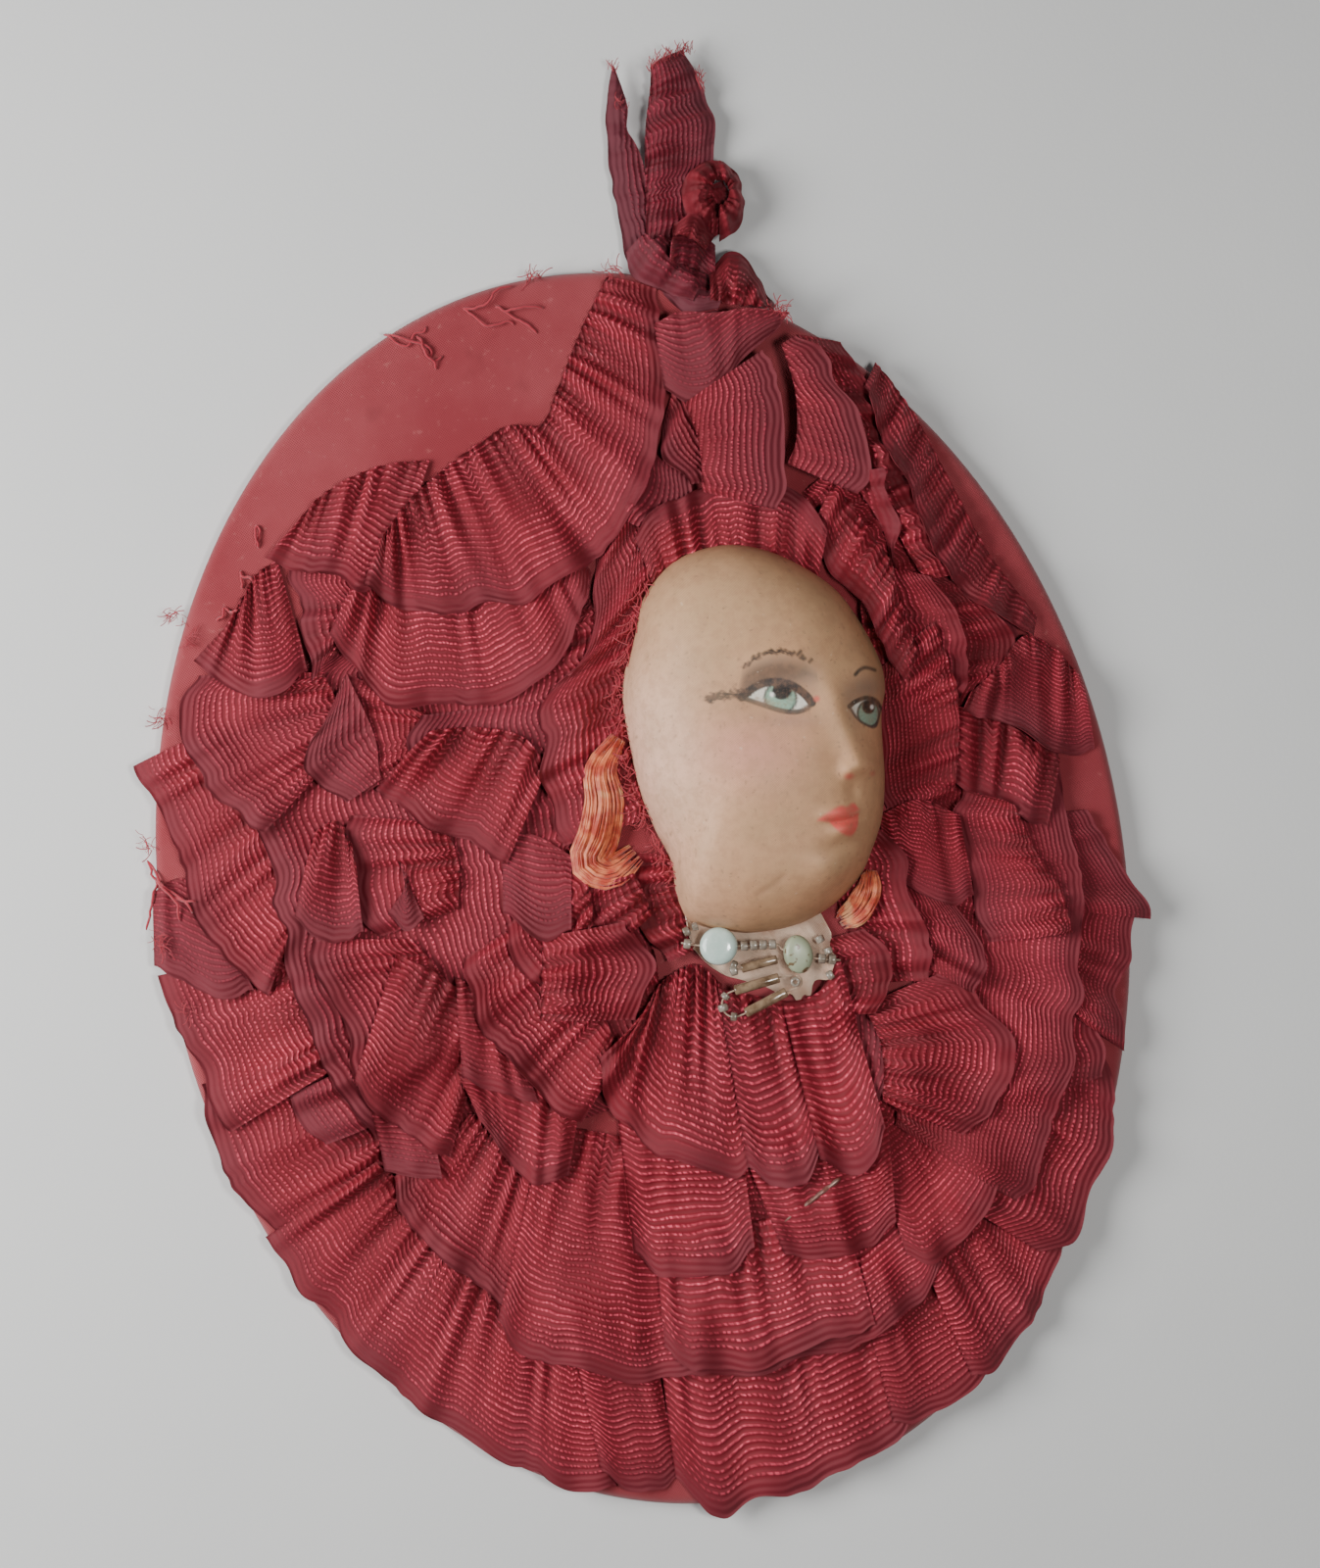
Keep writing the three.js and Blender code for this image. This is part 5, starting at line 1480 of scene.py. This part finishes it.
def ravelled_edge(name, lines, body, **settings):
    """One piece of thread ends along lines of [x, y, z] points in millimetres."""
    points, edges = [], []
    for line in lines:
        edges += [(len(points) + k, len(points) + k + 1) for k in range(len(line) - 1)]
        points += [tuple(point) for point in np.asarray(line) * MM]
    mesh = bpy.data.meshes.new(name)
    mesh.from_pydata(points, edges, [])
    piece = bpy.data.objects.new(name, mesh)
    bpy.context.scene.collection.objects.link(piece)
    modifier = piece.modifiers.new("ravelled_edge", "NODES")
    modifier.node_group = RAVELLED_EDGE
    for item in RAVELLED_EDGE.interface.items_tree:
        label = item.name.replace(" ", "_").lower()
        if label in settings:
            modifier[item.identifier] = settings[label]
    evaluated = piece.evaluated_get(bpy.context.evaluated_depsgraph_get())
    made = bpy.data.meshes.new_from_object(evaluated)
    piece.modifiers.clear()
    piece.data = made
    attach(piece, body)


def over_pile(corners, count, rise):
    """A smooth line of points lying over the pile."""
    plan = smooth_line(corners, count)
    return np.c_[plan, np.maximum(pile_at(plan[:, 0], plan[:, 1]), 0.6) + rise]


rim = closed_line(MASK_RIM, 360)[28:134:4]
outward = (rim - MASK_MIDDLE) / np.linalg.norm(rim - MASK_MIDDLE, axis=1, keepdims=True)
ravelled_edge("mask_rim_threads", [over_pile(rim + 1.3 * outward, 80, 0.8)], "plaque", spacing=0.4 * MM,
              length=3.2 * MM, thickness=0.1 * MM, scatter=(0.9 * MM, 0.9 * MM, 1.2 * MM), turn_from=0.0,
              turn_to=6.28, seed=3)
CARD_EDGE_TUFTS = [[(-91, 78), (-88, 76)], [(-87, 72), (-85, 70)], [(-97, 57), (-95, 55)],
                   [(-105, 10), (-104, 6)], [(-105, 31), (-104, 28)], [(-102, -7), (-101, -9)],
                   [(0, 135), (3, 135)], [(17, 133), (19, 133)], [(51, 118), (53, 116)]]
ravelled_edge("card_edge_tufts", [over_pile(corners, 6, 0.5) for corners in CARD_EDGE_TUFTS], "plaque",
              spacing=0.16 * MM, length=2.6 * MM, thickness=0.09 * MM,
              scatter=(1.0 * MM, 1.0 * MM, 1.0 * MM), turn_from=0.0, turn_to=6.28, seed=5)
TORN_ENDS = [[(25.8, 176.4), (27.4, 176.2)], [(34.6, 174.6), (38, 176), (44.6, 177.6)],
             [(26, 168.6), (28, 167)], [(44.8, 172), (45.2, 168)]]
ravelled_edge("torn_tail_threads", [over_pile(corners, 12, 0.2) for corners in TORN_ENDS], "topknot_tails",
              spacing=0.12 * MM, length=1.6 * MM, thickness=0.07 * MM,
              scatter=(0.6 * MM, 1.1 * MM, 0.6 * MM), turn_from=0.7, turn_to=2.4, seed=7)
